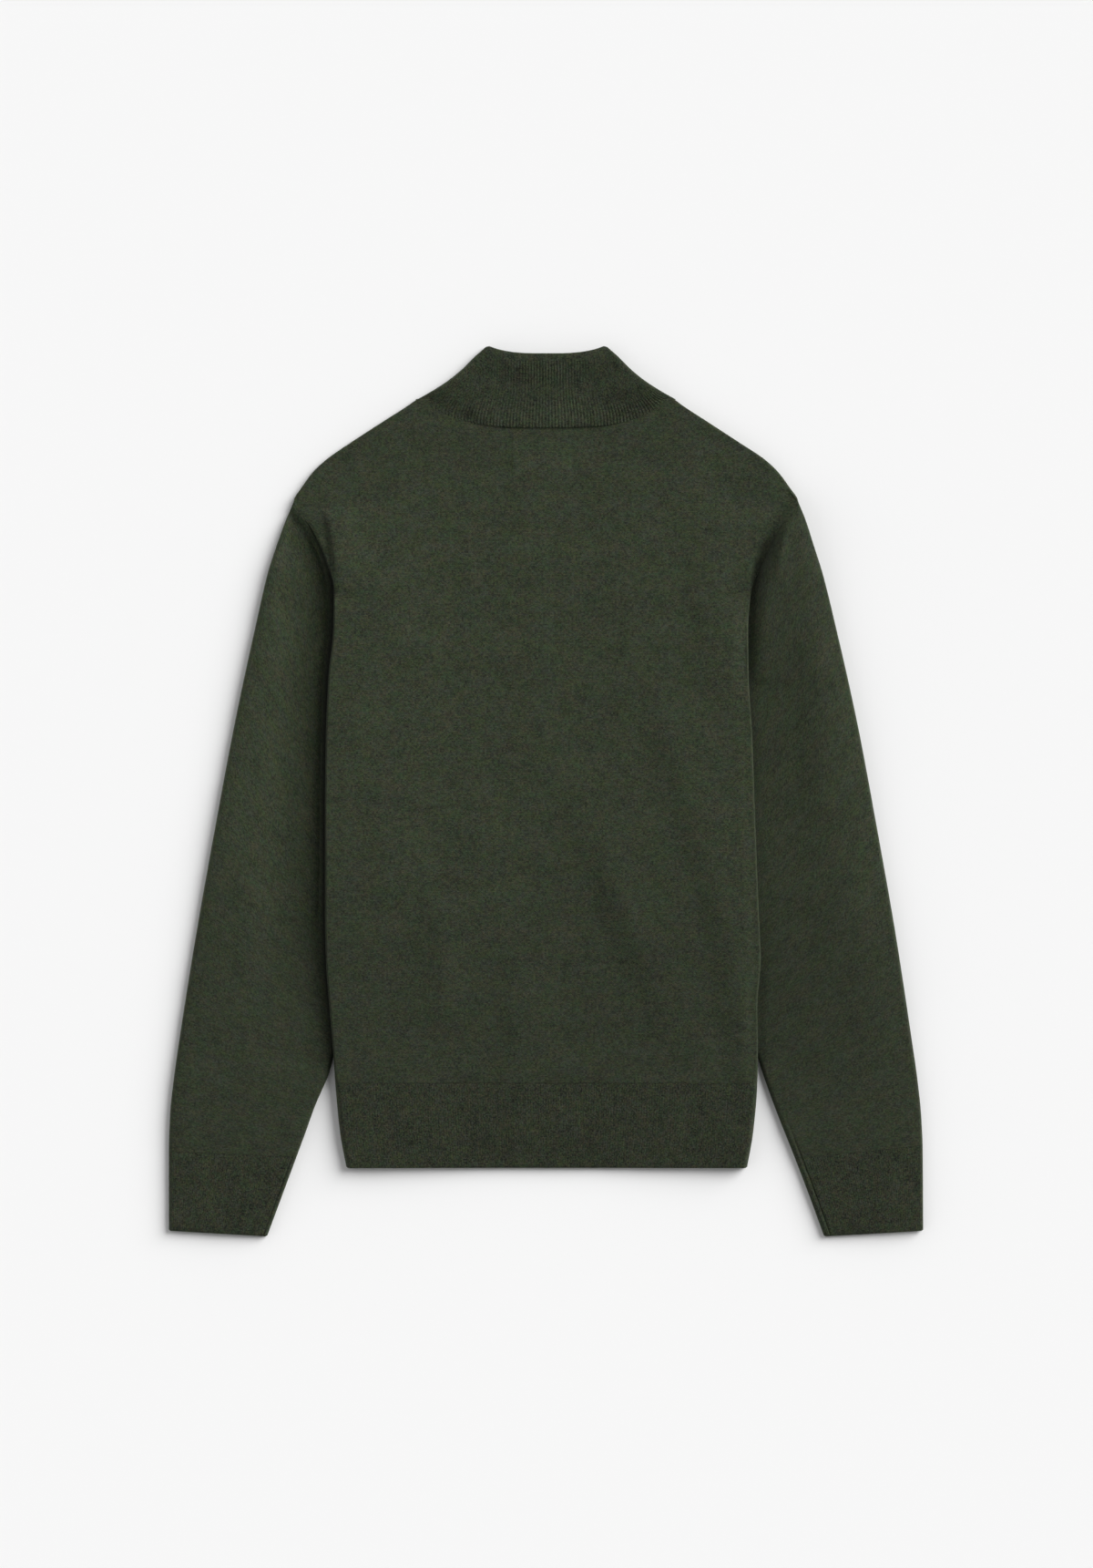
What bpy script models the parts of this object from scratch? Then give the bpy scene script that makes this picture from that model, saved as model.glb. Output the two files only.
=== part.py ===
"""Quarter zip sweater in fine knit, laid flat on its front with its back up, sleeves tucked under.

Blender 4.5. +Z is up, the surface that the sweater lies on is z = 0, and +Y runs to the collar.
Sizes in the tables and functions are millimetres; meshes are made in metres.
"""

import math
from collections import namedtuple

import bmesh
import bpy
from mathutils import Matrix

MM = 0.001

# Cloth
KNIT = 1.6  # wall of the plain knit
RIB = 2.2  # wall of the hem and cuff ribs
COLLAR_RIB = 2.4  # wall of the collar, which is two layers deep
SEAM = 0.3  # clearance between two sewn pieces
RIM = 0.7  # how far a rib's finished edge rounds out

# Rib knitting, one crest and one valley to each pitch
FINE_PITCH, FINE_RAISE = 2.24, 0.35  # hem and cuffs
COLLAR_PITCH, COLLAR_RAISE = 2.86, 0.5
COLLAR_FAN = 0.55  # how far the collar's ribs lean out at the sides

# Levels down the garment
NECK_Y = 343.6  # top of the back and front panels
TIP_Y = 254.0  # shoulder seam's outer end
ARMPIT_Y = 40.0
HEM_TOP_Y = -256.0
HEM_Y = -330.0
ZIP_TOP_Y, ZIP_BOTTOM_Y = 303.0, 131.0

# How the layers lie
RAMP = 30.0  # width of the slope where the turned-under layers step down
TUCK_RAMP = 25.0  # width of the steeper slope over a tucked sleeve's edge
SLEEVE_LOFT = 6.2  # height of a sleeve that lies free
TUCKED_LOFT = 4.8  # height of a sleeve under the body
TURN_SLOT = 0.6  # slot inside the front's turned-under sides
ZIP_HALF = 6.0  # half the opening between the knit edges that the zip fills

SIDES = (("left", -1), ("right", 1))

# The body's edge as it lies: half widths from the middle line
EdgeRow = namedtuple("EdgeRow", "y left right")
BODY_EDGE = (
    EdgeRow(344.0, 114.6, 113.0),  # neck point
    EdgeRow(338.0, 123.2, 121.2),
    EdgeRow(326.8, 140.8, 138.4),
    EdgeRow(304.4, 175.2, 172.8),
    EdgeRow(293.2, 191.4, 189.8),
    EdgeRow(282.0, 204.0, 202.4),
    EdgeRow(268.0, 214.5, 213.0),
    EdgeRow(TIP_Y, 222.4, 221.2),
    EdgeRow(231.0, 206.5, 205.0),
    EdgeRow(200.0, 192.8, 189.5),
    EdgeRow(175.0, 186.6, 179.5),
    EdgeRow(140.0, 187.2, 177.0),
    EdgeRow(103.0, 191.2, 177.4),
    EdgeRow(44.0, 193.7, 180.8),
    EdgeRow(-15.0, 194.4, 182.8),
    EdgeRow(-108.0, 194.4, 186.4),
    EdgeRow(-146.0, 193.6, 188.0),
    EdgeRow(-191.0, 190.4, 185.0),
    EdgeRow(-226.0, 187.4, 185.6),
    EdgeRow(HEM_TOP_Y, 185.6, 185.2),
    EdgeRow(-300.0, 181.4, 181.6),
    EdgeRow(HEM_Y, 176.0, 176.4),
)

# The body's layers at its edge: height of what lies under it, height of the folded layers,
# how far the cloth is turned under, and the height of the back over the front in the middle
LayerRow = namedtuple("LayerRow", "y lift fold turn middle")
LAYERS = (
    LayerRow(344.0, 0.0, 5.8, 3.6, 5.3),
    LayerRow(326.0, 0.0, 6.2, 6.6, 5.3),
    LayerRow(302.0, 0.0, 6.2, 7.0, 6.6),
    LayerRow(266.0, 0.0, 6.2, 7.0, 6.6),
    LayerRow(250.0, 2.6, 3.6, 3.4, 6.6),
    LayerRow(186.0, 5.2, 3.7, 3.4, 6.6),
    LayerRow(160.0, 5.2, 4.4, 14.0, 6.6),
    LayerRow(100.0, 5.2, 6.2, 44.0, 6.6),
    LayerRow(ARMPIT_Y, 5.2, 7.8, 62.0, 6.0),
    LayerRow(-100.0, 5.2, 7.8, 62.0, 5.8),
    LayerRow(-238.0, 5.2, 7.8, 57.0, 5.8),
    LayerRow(HEM_TOP_Y, 2.8, 9.3, 56.0, 6.4),
    LayerRow(HEM_Y, 0.0, 9.3, 46.0, 6.6),
)

# The sleeves' outer edge, shoulder tip to cuff
SLEEVE_OUTER = (
    EdgeRow(TIP_Y, 222.8, 221.6),
    EdgeRow(237.0, 229.6, 228.0),
    EdgeRow(214.8, 237.6, 235.2),
    EdgeRow(192.4, 244.8, 242.4),
    EdgeRow(147.6, 255.2, 253.6),
    EdgeRow(58.0, 274.4, 273.6),
    EdgeRow(-31.6, 291.2, 290.4),
    EdgeRow(-121.2, 307.2, 306.2),
    EdgeRow(-210.8, 321.6, 320.0),
    EdgeRow(-255.6, 328.0, 326.4),
    EdgeRow(-285.0, 331.0, 329.4),
    EdgeRow(-316.0, 332.0, 330.8),
    EdgeRow(-385.2, 332.0, 331.2),
)

# The sleeves' inner edge, the underarm fold, armpit to cuff
SLEEVE_INNER = (
    EdgeRow(ARMPIT_Y, 132.0, 119.2),
    EdgeRow(-60.0, 151.0, 141.0),
    EdgeRow(-150.0, 172.5, 164.0),
    EdgeRow(-205.0, 181.5, 177.5),
    EdgeRow(-244.0, 190.0, 188.8),
    EdgeRow(-278.0, 204.0, 200.8),
    EdgeRow(-300.4, 212.0, 209.6),
    EdgeRow(-322.0, 220.0, 218.2),
    EdgeRow(-356.0, 232.6, 231.2),
    EdgeRow(-391.0, 245.6, 244.0),
)

# Where the cuffs begin and end, at their outer and inner edges
CuffLine = namedtuple("CuffLine", "outer inner")
CUFF_TOP = {"left": CuffLine(-316.4, -321.2), "right": CuffLine(-311.0, -322.4)}
CUFF_END = {"left": CuffLine(-385.2, -390.4), "right": CuffLine(-385.2, -390.4)}

# The collar's side folds, base to top, with the height of the back's outer face and how far
# the back sinks into the neck in the middle
CollarRow = namedtuple("CollarRow", "y level half_width side height sag")
COLLAR = (
    CollarRow(0.0, 0.0, 113.6, 344.5, 8.5, 0.0),
    CollarRow(-0.2, 0.2, 104.4, 349.5, 8.4, 0.0),
    CollarRow(-0.4, 0.4, 87.6, 360.0, 8.1, 0.0),
    CollarRow(-0.6, 0.6, 74.0, 371.0, 7.2, 2.2),
    CollarRow(-0.8, 0.8, 63.0, 382.0, 6.6, 2.3),
    CollarRow(-1.0, 1.0, 53.5, 390.4, 6.2, 2.0),
)
COLLAR_BASE_Y, COLLAR_TOP_Y = 319.8, 383.8  # middle of the back
COLLAR_FRONT_BASE_Y = 243.0  # at the zip

# The largest folds of the back: soft troughs along a line, x to the right of the middle
Fold = namedtuple("Fold", "x0 y0 x1 y1 half_width depth")
FOLDS = (
    Fold(10.0, 10.0, 62.0, -115.0, 15.0, 0.8),
    Fold(62.0, -115.0, 112.0, -236.0, 17.0, 1.2),
    Fold(-102.0, -70.0, -104.0, -205.0, 16.0, 1.0),
    Fold(128.0, 178.0, 112.0, 60.0, 18.0, 0.8),
)

# Heights at which the panels' rows are taken; those between tip and armpit are the sleeves' too
YOKE_Y = (NECK_Y, 336.0, 326.8, 304.4, 293.2, 282.0, 266.0, 258.0)
ARMHOLE_Y = (250.0, 238.0, 218.0, 196.0, 176.0, 158.0, 134.0, 106.0, 70.0)
SIDE_Y = (ARMPIT_Y, 0.0, -50.0, -100.0, -150.0, -195.0, -232.0, HEM_TOP_Y + SEAM)

KNIT_GREEN = (0.028, 0.047, 0.026)
RIB_GREEN = (0.024, 0.041, 0.024)
TAPE_GREEN = (0.016, 0.026, 0.016)
ZIP_METAL = (0.09, 0.085, 0.075)


# ---------------------------------------------------------------- reading the tables


def read(table, column, y):
    """A table's column at height y, on a smooth curve that passes through its rows."""
    ys = [row.y for row in table]
    values = [getattr(row, column) for row in table]
    if y >= ys[0]:
        return values[0]
    if y <= ys[-1]:
        return values[-1]
    slopes = [(values[i + 1] - values[i]) / (ys[i + 1] - ys[i]) for i in range(len(ys) - 1)]
    at = next(i for i in range(len(slopes)) if ys[i + 1] <= y)

    def tangent(i):
        """The curve's slope at a row, level where the values turn back."""
        if i == 0 or i == len(slopes):
            return slopes[min(i, len(slopes) - 1)]
        before, after = slopes[i - 1], slopes[i]
        return 0.0 if before * after <= 0 else 2 * before * after / (before + after)

    span = ys[at + 1] - ys[at]
    t = (y - ys[at]) / span
    start, end = tangent(at) * span, tangent(at + 1) * span
    return (
        values[at] * (2 * t**3 - 3 * t**2 + 1)
        + start * (t**3 - 2 * t**2 + t)
        + values[at + 1] * (3 * t**2 - 2 * t**3)
        + end * (t**3 - t**2)
    )


def ramp(x, low, high):
    """0 below low and 1 above high, with a soft slope between."""
    t = min(1.0, max(0.0, (x - low) / (high - low)))
    return t * t * (3 - 2 * t)


def spread(start, end, count):
    """count numbers from start to end, both included."""
    return [start + (end - start) * i / (count - 1) for i in range(count)]


# ---------------------------------------------------------------- where the layers lie


def seam_x(y, side):
    """Inner end of the back's turned-under edge."""
    return read(BODY_EDGE, side, y) - read(LAYERS, "turn", y)


def bend_x(y, side):
    """Where the folded layers begin to bend round at the body's edge."""
    return read(BODY_EDGE, side, y) - read(LAYERS, "fold", y) / 2


def side_columns(y, side):
    """Columns that the side's layers share, from the seam to the bend."""
    count = 5 if y <= ARMPIT_Y else 4 if y < 165 else 2
    return spread(seam_x(y, side), bend_x(y, side), count)


def slope_columns(y, side):
    """Columns that the layers share from the seam down to the middle."""
    seam = seam_x(y, side)
    return [seam - RAMP / 2] + [(seam - RAMP) * share for share in (1.0, 0.8, 0.6, 0.4, 0.2)]


def armhole_x(y, side):
    """The armhole: along the body's edge at the shoulder, then under the body to the armpit."""
    hidden = 1 - ramp(y, 164.0, 186.0)
    return read(BODY_EDGE, side, y) + SEAM - read(LAYERS, "turn", y) * hidden


def tuck_x(y, side):
    """Inner limit of the sleeve that lies under the body."""
    return armhole_x(y, side) if y >= ARMPIT_Y else read(SLEEVE_INNER, side, y)


def ground(x, y, side):
    """Height of what the body lies on: the tucked sleeve, or the surface."""
    edge = tuck_x(y, side) - 3
    return read(LAYERS, "lift", y) * ramp(x, edge - TUCK_RAMP, edge)


def fold_depth(x, y):
    """How far the folds sink the back's face at a point."""
    depth = 0.0
    for fold in FOLDS:
        along_x, along_y = fold.x1 - fold.x0, fold.y1 - fold.y0
        t = ((x - fold.x0) * along_x + (y - fold.y0) * along_y) / (along_x**2 + along_y**2)
        t = min(1.0, max(0.0, t))
        away = math.dist((x, y), (fold.x0 + along_x * t, fold.y0 + along_y * t))
        depth = max(depth, fold.depth * (1 - ramp(away, 0.0, 2 * fold.half_width)))
    return depth


def back_height(x, y, side, sign):
    """Height of the back's outer face."""
    seam = seam_x(y, side)
    middle, fold = read(LAYERS, "middle", y), read(LAYERS, "fold", y)
    inside = 1 - ramp(x, seam - 12, seam)
    return (ground(x, y, side) + middle + (fold - middle) * ramp(x, seam - RAMP, seam)
            - fold_depth(sign * x, y) * inside)


def layer_step(y):
    """From the underside of the back's turned-under strip to the front's layer above it."""
    return KNIT + (RIB - KNIT) * ramp(-y, 236.0, -HEM_TOP_Y - SEAM) + SEAM


def front_height(x, y, side, cloth):
    """Height of the front's outer face, which climbs on to its turned-under sides."""
    seam = seam_x(y, side)
    climb = layer_step(y) + KNIT + TURN_SLOT - (cloth - KNIT) / 2
    below_armpit = 1 - ramp(y, ARMPIT_Y - 4, ARMPIT_Y + 24)
    return below_armpit * (ground(x, y, side) + climb * ramp(x, seam - RAMP, seam))


def front_edge_x(y, side):
    """Side edge of the front: inside the back's rolled shoulder, along the armhole, then the side seam."""
    if y < ARMPIT_Y:
        return seam_x(y, side) - SEAM + 2.0 * ramp(-y, -ARMPIT_Y, 20 - ARMPIT_Y)
    shoulder = ramp(y, 238.0, 250.0)
    rolled = seam_x(y, side) - SEAM
    return rolled * shoulder + (armhole_x(y, side) - 2 * SEAM) * (1 - shoulder)


def sleeve_height(x, y, side):
    """Height of a sleeve's outer face, pressed down beside and under the body."""
    pressed = TUCKED_LOFT
    if y > 186.0:
        pressed += (SLEEVE_LOFT - TUCKED_LOFT) * ramp(y, 186.0, TIP_Y)
    elif y < -236.0:
        pressed += (SLEEVE_LOFT - TUCKED_LOFT) * ramp(-y, 236.0, 256.0)
    edge = read(BODY_EDGE, side, y)
    return pressed + (SLEEVE_LOFT - pressed) * ramp(x, edge + 4, edge + 22)


# ---------------------------------------------------------------- making walls


def stitch(bm, low, high):
    """Triangles between two chains of (place along the chain, vertex), which may share ends.

    Where both chains step together, the diagonal runs outward from the low chain.
    """
    i = j = 0
    while i < len(low) - 1 or j < len(high) - 1:
        if i == len(low) - 1 or j == len(high) - 1:
            along_low = j == len(high) - 1
        elif abs(low[i + 1][0] - high[j + 1][0]) < 1e-6:
            along_low = abs(low[i + 1][1].co.x) < abs(low[i][1].co.x)
        else:
            along_low = low[i + 1][0] < high[j + 1][0]
        if along_low:
            corners = {low[i][1], low[i + 1][1], high[j][1]}
            i += 1
        else:
            corners = {low[i][1], high[j + 1][1], high[j][1]}
            j += 1
        if len(corners) == 3:
            bm.faces.new(corners)


def point_at(chain, place):
    """The point at a place along a chain of (place, point)."""
    for (a, p), (b, q) in zip(chain, chain[1:]):
        if place <= b:
            t = (place - a) / (b - a)
            return tuple(u + (v - u) * t for u, v in zip(p, q))
    return chain[-1][1]


def evenly(chain, low, high, steps):
    """Points at even distances along the part of a chain between two of its places."""
    part = [q for q in chain if low <= q[0] <= high]
    lengths = [0.0]
    for (_, p), (_, q) in zip(part, part[1:]):
        lengths.append(lengths[-1] + math.dist(p, q))
    measured = [(length, point) for length, (_, point) in zip(lengths, part)]
    return [(low + (high - low) * i / steps, point_at(measured, lengths[-1] * i / steps))
            for i in range(steps + 1)]


def rib_row(outer, inner, low, high, ribs):
    """Raises ribs in the outer points between two places, over a plain inside."""

    def between(chain, points):
        return [q for q in chain if q[0] < low] + points + [q for q in chain if q[0] > high]

    raised = []
    for k, (place, (x, y, z)) in enumerate(evenly(outer, low, high, 2 * ribs)):
        raised.append((place, (x, y, z + (FINE_RAISE / 2 if k % 2 else -FINE_RAISE / 2))))
    return between(outer, raised), between(inner, evenly(inner, low, high, ribs // 3))


def rim_chain(outer, inner, bulge):
    """A chain midway between two, moved along y, that rounds off a finished edge."""
    chain = []
    for place, p in inner:
        q = point_at(outer, place)
        chain.append((place, ((p[0] + q[0]) / 2, (p[1] + q[1]) / 2 + bulge, (p[2] + q[2]) / 2)))
    return chain


def add_object(name, mesh, colour, roughness=0.9, metallic=0.0):
    """An object in the sweater's collection, with its own material."""
    material = bpy.data.materials.new(name)
    material.use_nodes = True
    surface = material.node_tree.nodes["Principled BSDF"]
    surface.inputs["Base Color"].default_value = (*colour, 1)
    surface.inputs["Roughness"].default_value = roughness
    surface.inputs["Metallic"].default_value = metallic
    material.diffuse_color = (*colour, 1)
    mesh.materials.append(material)
    mesh.shade_smooth()
    mesh.set_sharp_from_angle(angle=math.radians(40))
    obj = bpy.data.objects.new(name, mesh)
    SWEATER.objects.link(obj)
    obj.parent = LAID
    return obj


def wall(name, rows, colour, tube=False, rims=(0.0, 0.0)):
    """One closed solid of cloth between the outer and inner chains of its rows.

    A row of a tube runs all the way round. rims rounds the first and last row's edge along y.
    """
    bm = bmesh.new()

    def vertices(chain):
        made = [(place, bm.verts.new([c * MM for c in point])) for place, point in chain]
        if tube:
            made.append((made[0][0] + 1000, made[0][1]))
        return made

    chains = [(vertices(outer), vertices(inner)) for outer, inner in rows]
    for (outer, inner), (next_outer, next_inner) in zip(chains, chains[1:]):
        stitch(bm, outer, next_outer)
        stitch(bm, inner, next_inner)
        if not tube:
            for end in (0, -1):
                a, b, c, d = outer[end][1], inner[end][1], next_inner[end][1], next_outer[end][1]
                bm.faces.new((a, b, c))
                bm.faces.new((a, c, d))
    for end, bulge in zip((0, -1), rims):
        outer, inner = chains[end]
        if bulge:
            middle = vertices(rim_chain(*rows[end], bulge))
            if not tube:
                middle = [outer[0], *middle[1:-1], outer[-1]]
            stitch(bm, outer, middle)
            stitch(bm, middle, inner)
            for vertex in [v for v in bm.verts if not v.link_faces]:
                bm.verts.remove(vertex)
        else:
            stitch(bm, outer, inner)
    bmesh.ops.recalc_face_normals(bm, faces=bm.faces)
    mesh = bpy.data.meshes.new(name)
    bm.to_mesh(mesh)
    bm.free()
    return add_object(name, mesh, colour)


# ---------------------------------------------------------------- body


def back_side(y, side, sign, cloth):
    """Half a row of the back: the turned-under strip, the fold, then the top up to the middle."""
    bend, radius = bend_x(y, side), read(LAYERS, "fold", y) / 2
    columns = side_columns(y, side)
    places = spread(0.0, 1.0, len(columns))
    base = ground(bend, y, side)
    outer, inner = [], []

    def add(place, x, out_z, in_x, in_z):
        outer.append((place, (sign * x, y, out_z)))
        inner.append((place, (sign * in_x, y, in_z)))

    for place, x in zip(places, columns):
        z = ground(x, y, side)
        add(place, x, z, x, z + cloth)
    for i in range(1, 5):
        angle = math.radians(-90 + 36 * i)
        c, s = math.cos(angle), math.sin(angle)
        inside = radius - cloth
        add(1 + i / 5, bend + radius * c, base + radius + radius * s,
            bend + inside * c, base + radius + inside * s)
    top = zip([2 + p / 2 for p in places] + [2.6, 2.65, 2.7, 2.75, 2.8, 2.9],
              columns[::-1] + slope_columns(y, side))
    for place, x in top:
        z = back_height(x, y, side, sign)
        add(place, x, z, x, z - cloth)
    return outer, inner


def across(y, halves):
    """A full row from a left and a right half, joined at the middle line."""
    (left_outer, left_inner), (right_outer, right_inner), middle_outer, middle_inner = halves
    outer = left_outer + [(3.0, middle_outer)] + [(6 - p, q) for p, q in reversed(right_outer)]
    inner = left_inner + [(3.0, middle_inner)] + [(6 - p, q) for p, q in reversed(right_inner)]
    return outer, inner


def back_row(y, cloth):
    """A row across the back."""
    halves = [back_side(y, side, sign, cloth) for side, sign in SIDES]
    middle = read(LAYERS, "middle", y) - fold_depth(0.0, y)
    return across(y, (*halves, (0.0, y, middle), (0.0, y, middle - cloth)))


def hem_back_row(y):
    """A row across the back's hem, with its ribs raised in the outer points."""
    width = bend_x(HEM_TOP_Y, "left") + bend_x(HEM_TOP_Y, "right")
    return rib_row(*back_row(y, RIB), 2.0, 4.0, round(width / FINE_PITCH))


def front_row(y, cloth):
    """A row across the front, flat on the surface but for its sides below the armpits."""
    outer = []
    for side, sign in SIDES:
        edge = front_edge_x(y, side)
        inward = slope_columns(y, side)[:4] if y < 80 else [edge / 2]
        half = []
        for i, x in enumerate([edge, *inward]):
            half.append((i / (1 + len(inward)),
                         (sign * x, y, front_height(x, y, side, cloth))))
        if sign < 0:
            outer += half + [(1.0, (0.0, y, 0.0))]
        else:
            outer += [(2 - p, q) for p, q in reversed(half)]
    return outer, [(p, (x, _, z + cloth)) for p, (x, _, z) in outer]


def turned_side_row(y, side, sign):
    """A row of the front's turned-under side: two layers with the fold at the body's edge."""
    step, slot = layer_step(y), TURN_SLOT / 2
    radius = KNIT + slot
    columns = side_columns(y, side)
    bend = columns[-1]
    middle = ground(bend, y, side) + step + radius
    outer, inner = [], []

    def add(x, out_z, in_x, in_z):
        outer.append((len(outer), (sign * x, y, out_z)))
        inner.append((len(inner), (sign * in_x, y, in_z)))

    for x in [columns[0] + SEAM, *columns[1:]]:
        z = ground(x, y, side) + step
        add(x, z, x, z + KNIT)
    for i in range(1, 5):
        angle = math.radians(-90 + 36 * i)
        c, s = math.cos(angle), math.sin(angle)
        add(bend + radius * c, middle + radius * s, bend + slot * c, middle + slot * s)
    for x in [*columns[:0:-1], columns[0] + 2.0]:
        z = ground(x, y, side) + step + 2 * radius
        add(x, z, x, z - KNIT)
    return outer, inner


def make_body():
    """The back, the front and its turned-under sides, and their hems."""
    panel_rows = YOKE_Y + ARMHOLE_Y + SIDE_Y
    hem_rows = (HEM_TOP_Y, HEM_Y)
    wall("back_panel", [back_row(y, KNIT) for y in panel_rows], KNIT_GREEN)
    wall("hem_back", [hem_back_row(y) for y in hem_rows], RIB_GREEN, rims=(0, -RIM))
    front = wall("front_panel", [front_row(y, KNIT) for y in panel_rows], KNIT_GREEN)
    cut_neck(front)
    wall("hem_front", [front_row(y, RIB) for y in hem_rows], RIB_GREEN, rims=(0, -RIM))
    side_rows = SIDE_Y + (HEM_Y,)
    for side, sign in SIDES:
        wall("front_side_" + side, [turned_side_row(y, side, sign) for y in side_rows],
             KNIT_GREEN)


def cut_neck(front):
    """Cuts the neck and the zip's opening out of the front."""
    clear = SEAM + 0.05
    right = [(ZIP_HALF, ZIP_BOTTOM_Y), (ZIP_HALF, COLLAR_FRONT_BASE_Y - clear)]
    for angle in FRONT_ANGLES[-2::-1]:
        x, y = collar_front_point(0.0, angle)
        right.append((x + clear * math.cos(angle), y - clear * math.sin(angle)))
    right.append((right[-1][0], NECK_Y + 20))
    outline = right + [(-x, y) for x, y in reversed(right)]
    boolean(front, prism("neck_cutter", outline, -2, 6, CUTTERS), "DIFFERENCE")


# ---------------------------------------------------------------- sleeves and cuffs


def tube_row(shares, plan, height, cloth, side, sign):
    """A ring round a flattened tube. plan(share) gives its line from outer to inner edge."""
    (x0, y0), (x1, y1) = plan(0.0), plan(1.0)
    width = math.hypot(x1 - x0, y1 - y0)
    outer, inner = [], []

    def add(place, share, low, wall_share, wall_low):
        """low goes from 0 at the top face to 1 at the bottom face."""
        for chain, q, z_share in ((outer, share, low), (inner, wall_share, wall_low)):
            x, y = plan(q)
            top = height(x, y, side)
            chain.append((place, (sign * x, y, top * (1 - z_share))))

    def flat(share, place, bottom):
        x, y = plan(share)
        top = height(x, y, side)
        edge = cloth / top
        add(place, share, 1.0 if bottom else 0.0, share, 1 - edge if bottom else edge)

    radius = SLEEVE_LOFT / 2
    bend, bend_in = radius / width, (radius - cloth) / width
    for share in shares:
        flat(share, share, False)
    for i in range(1, 4):
        angle = math.radians(45 * i)
        s, c = math.sin(angle), math.cos(angle)
        thin = 1 - cloth / radius
        add(1 + i / 10, 1 - bend + bend * s, (1 - c) / 2, 1 - bend + bend_in * s,
            (1 - c * thin) / 2)
    for share in reversed(shares):
        flat(share, 3 - share, True)
    for i in range(1, 4):
        angle = math.radians(45 * i)
        s, c = math.sin(angle), math.cos(angle)
        thin = 1 - cloth / radius
        add(3 + i / 10, bend - bend * s, (1 + c) / 2, bend - bend_in * s, (1 + c * thin) / 2)
    return outer, inner


def sleeve_plan(along, side):
    """The line across a sleeve, from the armhole (along 0) to the cuff (along 1)."""
    cuff = CUFF_TOP[side]
    top_y = TIP_Y + (cuff.outer + SEAM - TIP_Y) * along
    low_y = ARMPIT_Y + (cuff.inner + SEAM - ARMPIT_Y) * along
    x0, x1 = read(SLEEVE_OUTER, side, top_y), read(SLEEVE_INNER, side, low_y)
    start, end = armhole_x(TIP_Y, side), armhole_x(ARMPIT_Y, side)

    def plan(share):
        arm_y = TIP_Y + (ARMPIT_Y - TIP_Y) * share
        bow = armhole_x(arm_y, side) - (start + (end - start) * share)
        return x0 + (x1 - x0) * share + bow * (1 - along) ** 4, top_y + (low_y - top_y) * share

    return plan


def cuff_plan(along, side):
    """The line across a cuff, from the sleeve (along 0) to its end (along 1)."""
    top, end = CUFF_TOP[side], CUFF_END[side]
    outer_y = top.outer + (end.outer - top.outer) * along
    inner_y = top.inner + (end.inner - top.inner) * along
    x0, x1 = read(SLEEVE_OUTER, side, outer_y), read(SLEEVE_INNER, side, inner_y)
    return lambda share: (x0 + (x1 - x0) * share, outer_y + (inner_y - outer_y) * share)


def cuff_row(along, side, sign):
    """A ring round a cuff, with its ribs raised in the outer points of the upper layer."""
    shares = spread(0.04, 0.96, 4)
    row = tube_row(shares, cuff_plan(along, side), sleeve_height, RIB, side, sign)
    width = 0.92 * math.dist(cuff_plan(0.0, side)(0), cuff_plan(0.0, side)(1))
    return rib_row(*row, shares[0], shares[-1], round(width / FINE_PITCH))


def make_sleeves():
    """Two sleeves with their cuffs."""
    shares = [(TIP_Y - y) / (TIP_Y - ARMPIT_Y) for y in ARMHOLE_Y] + [0.985]
    along = (0.0, 0.035, 0.08, 0.14, 0.22, 0.32, 0.44, 0.56, 0.67, 0.78, 0.89, 1.0)
    for side, sign in SIDES:
        rows = [tube_row(shares, sleeve_plan(a, side), sleeve_height, KNIT, side, sign)
                for a in along]
        wall("sleeve_" + side, rows, KNIT_GREEN, tube=True)
        rows = [cuff_row(a, side, sign) for a in (0.0, 1.0)]
        wall("cuff_" + side, rows, RIB_GREEN, tube=True, rims=(0, -RIM))


# ---------------------------------------------------------------- collar

FRONT_ANGLES = [math.radians(15 * i) for i in range(7)]


def collar_size(column, level):
    """A column of the collar's table at a level from 0, the base, to 1, the top edge."""
    return read(COLLAR, column, -level)


def collar_front_point(level, angle):
    """A point of the collar's front as it lies, from its side fold (angle 0) to the zip."""
    half = collar_size("half_width", level) - collar_size("height", level) / 2
    side = collar_size("side", level)
    front = COLLAR_FRONT_BASE_Y + (ZIP_TOP_Y - COLLAR_FRONT_BASE_Y) * level
    x = ZIP_HALF + (half - ZIP_HALF) * math.cos(angle)
    return x, side - (side - front) * math.sin(angle)


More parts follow.
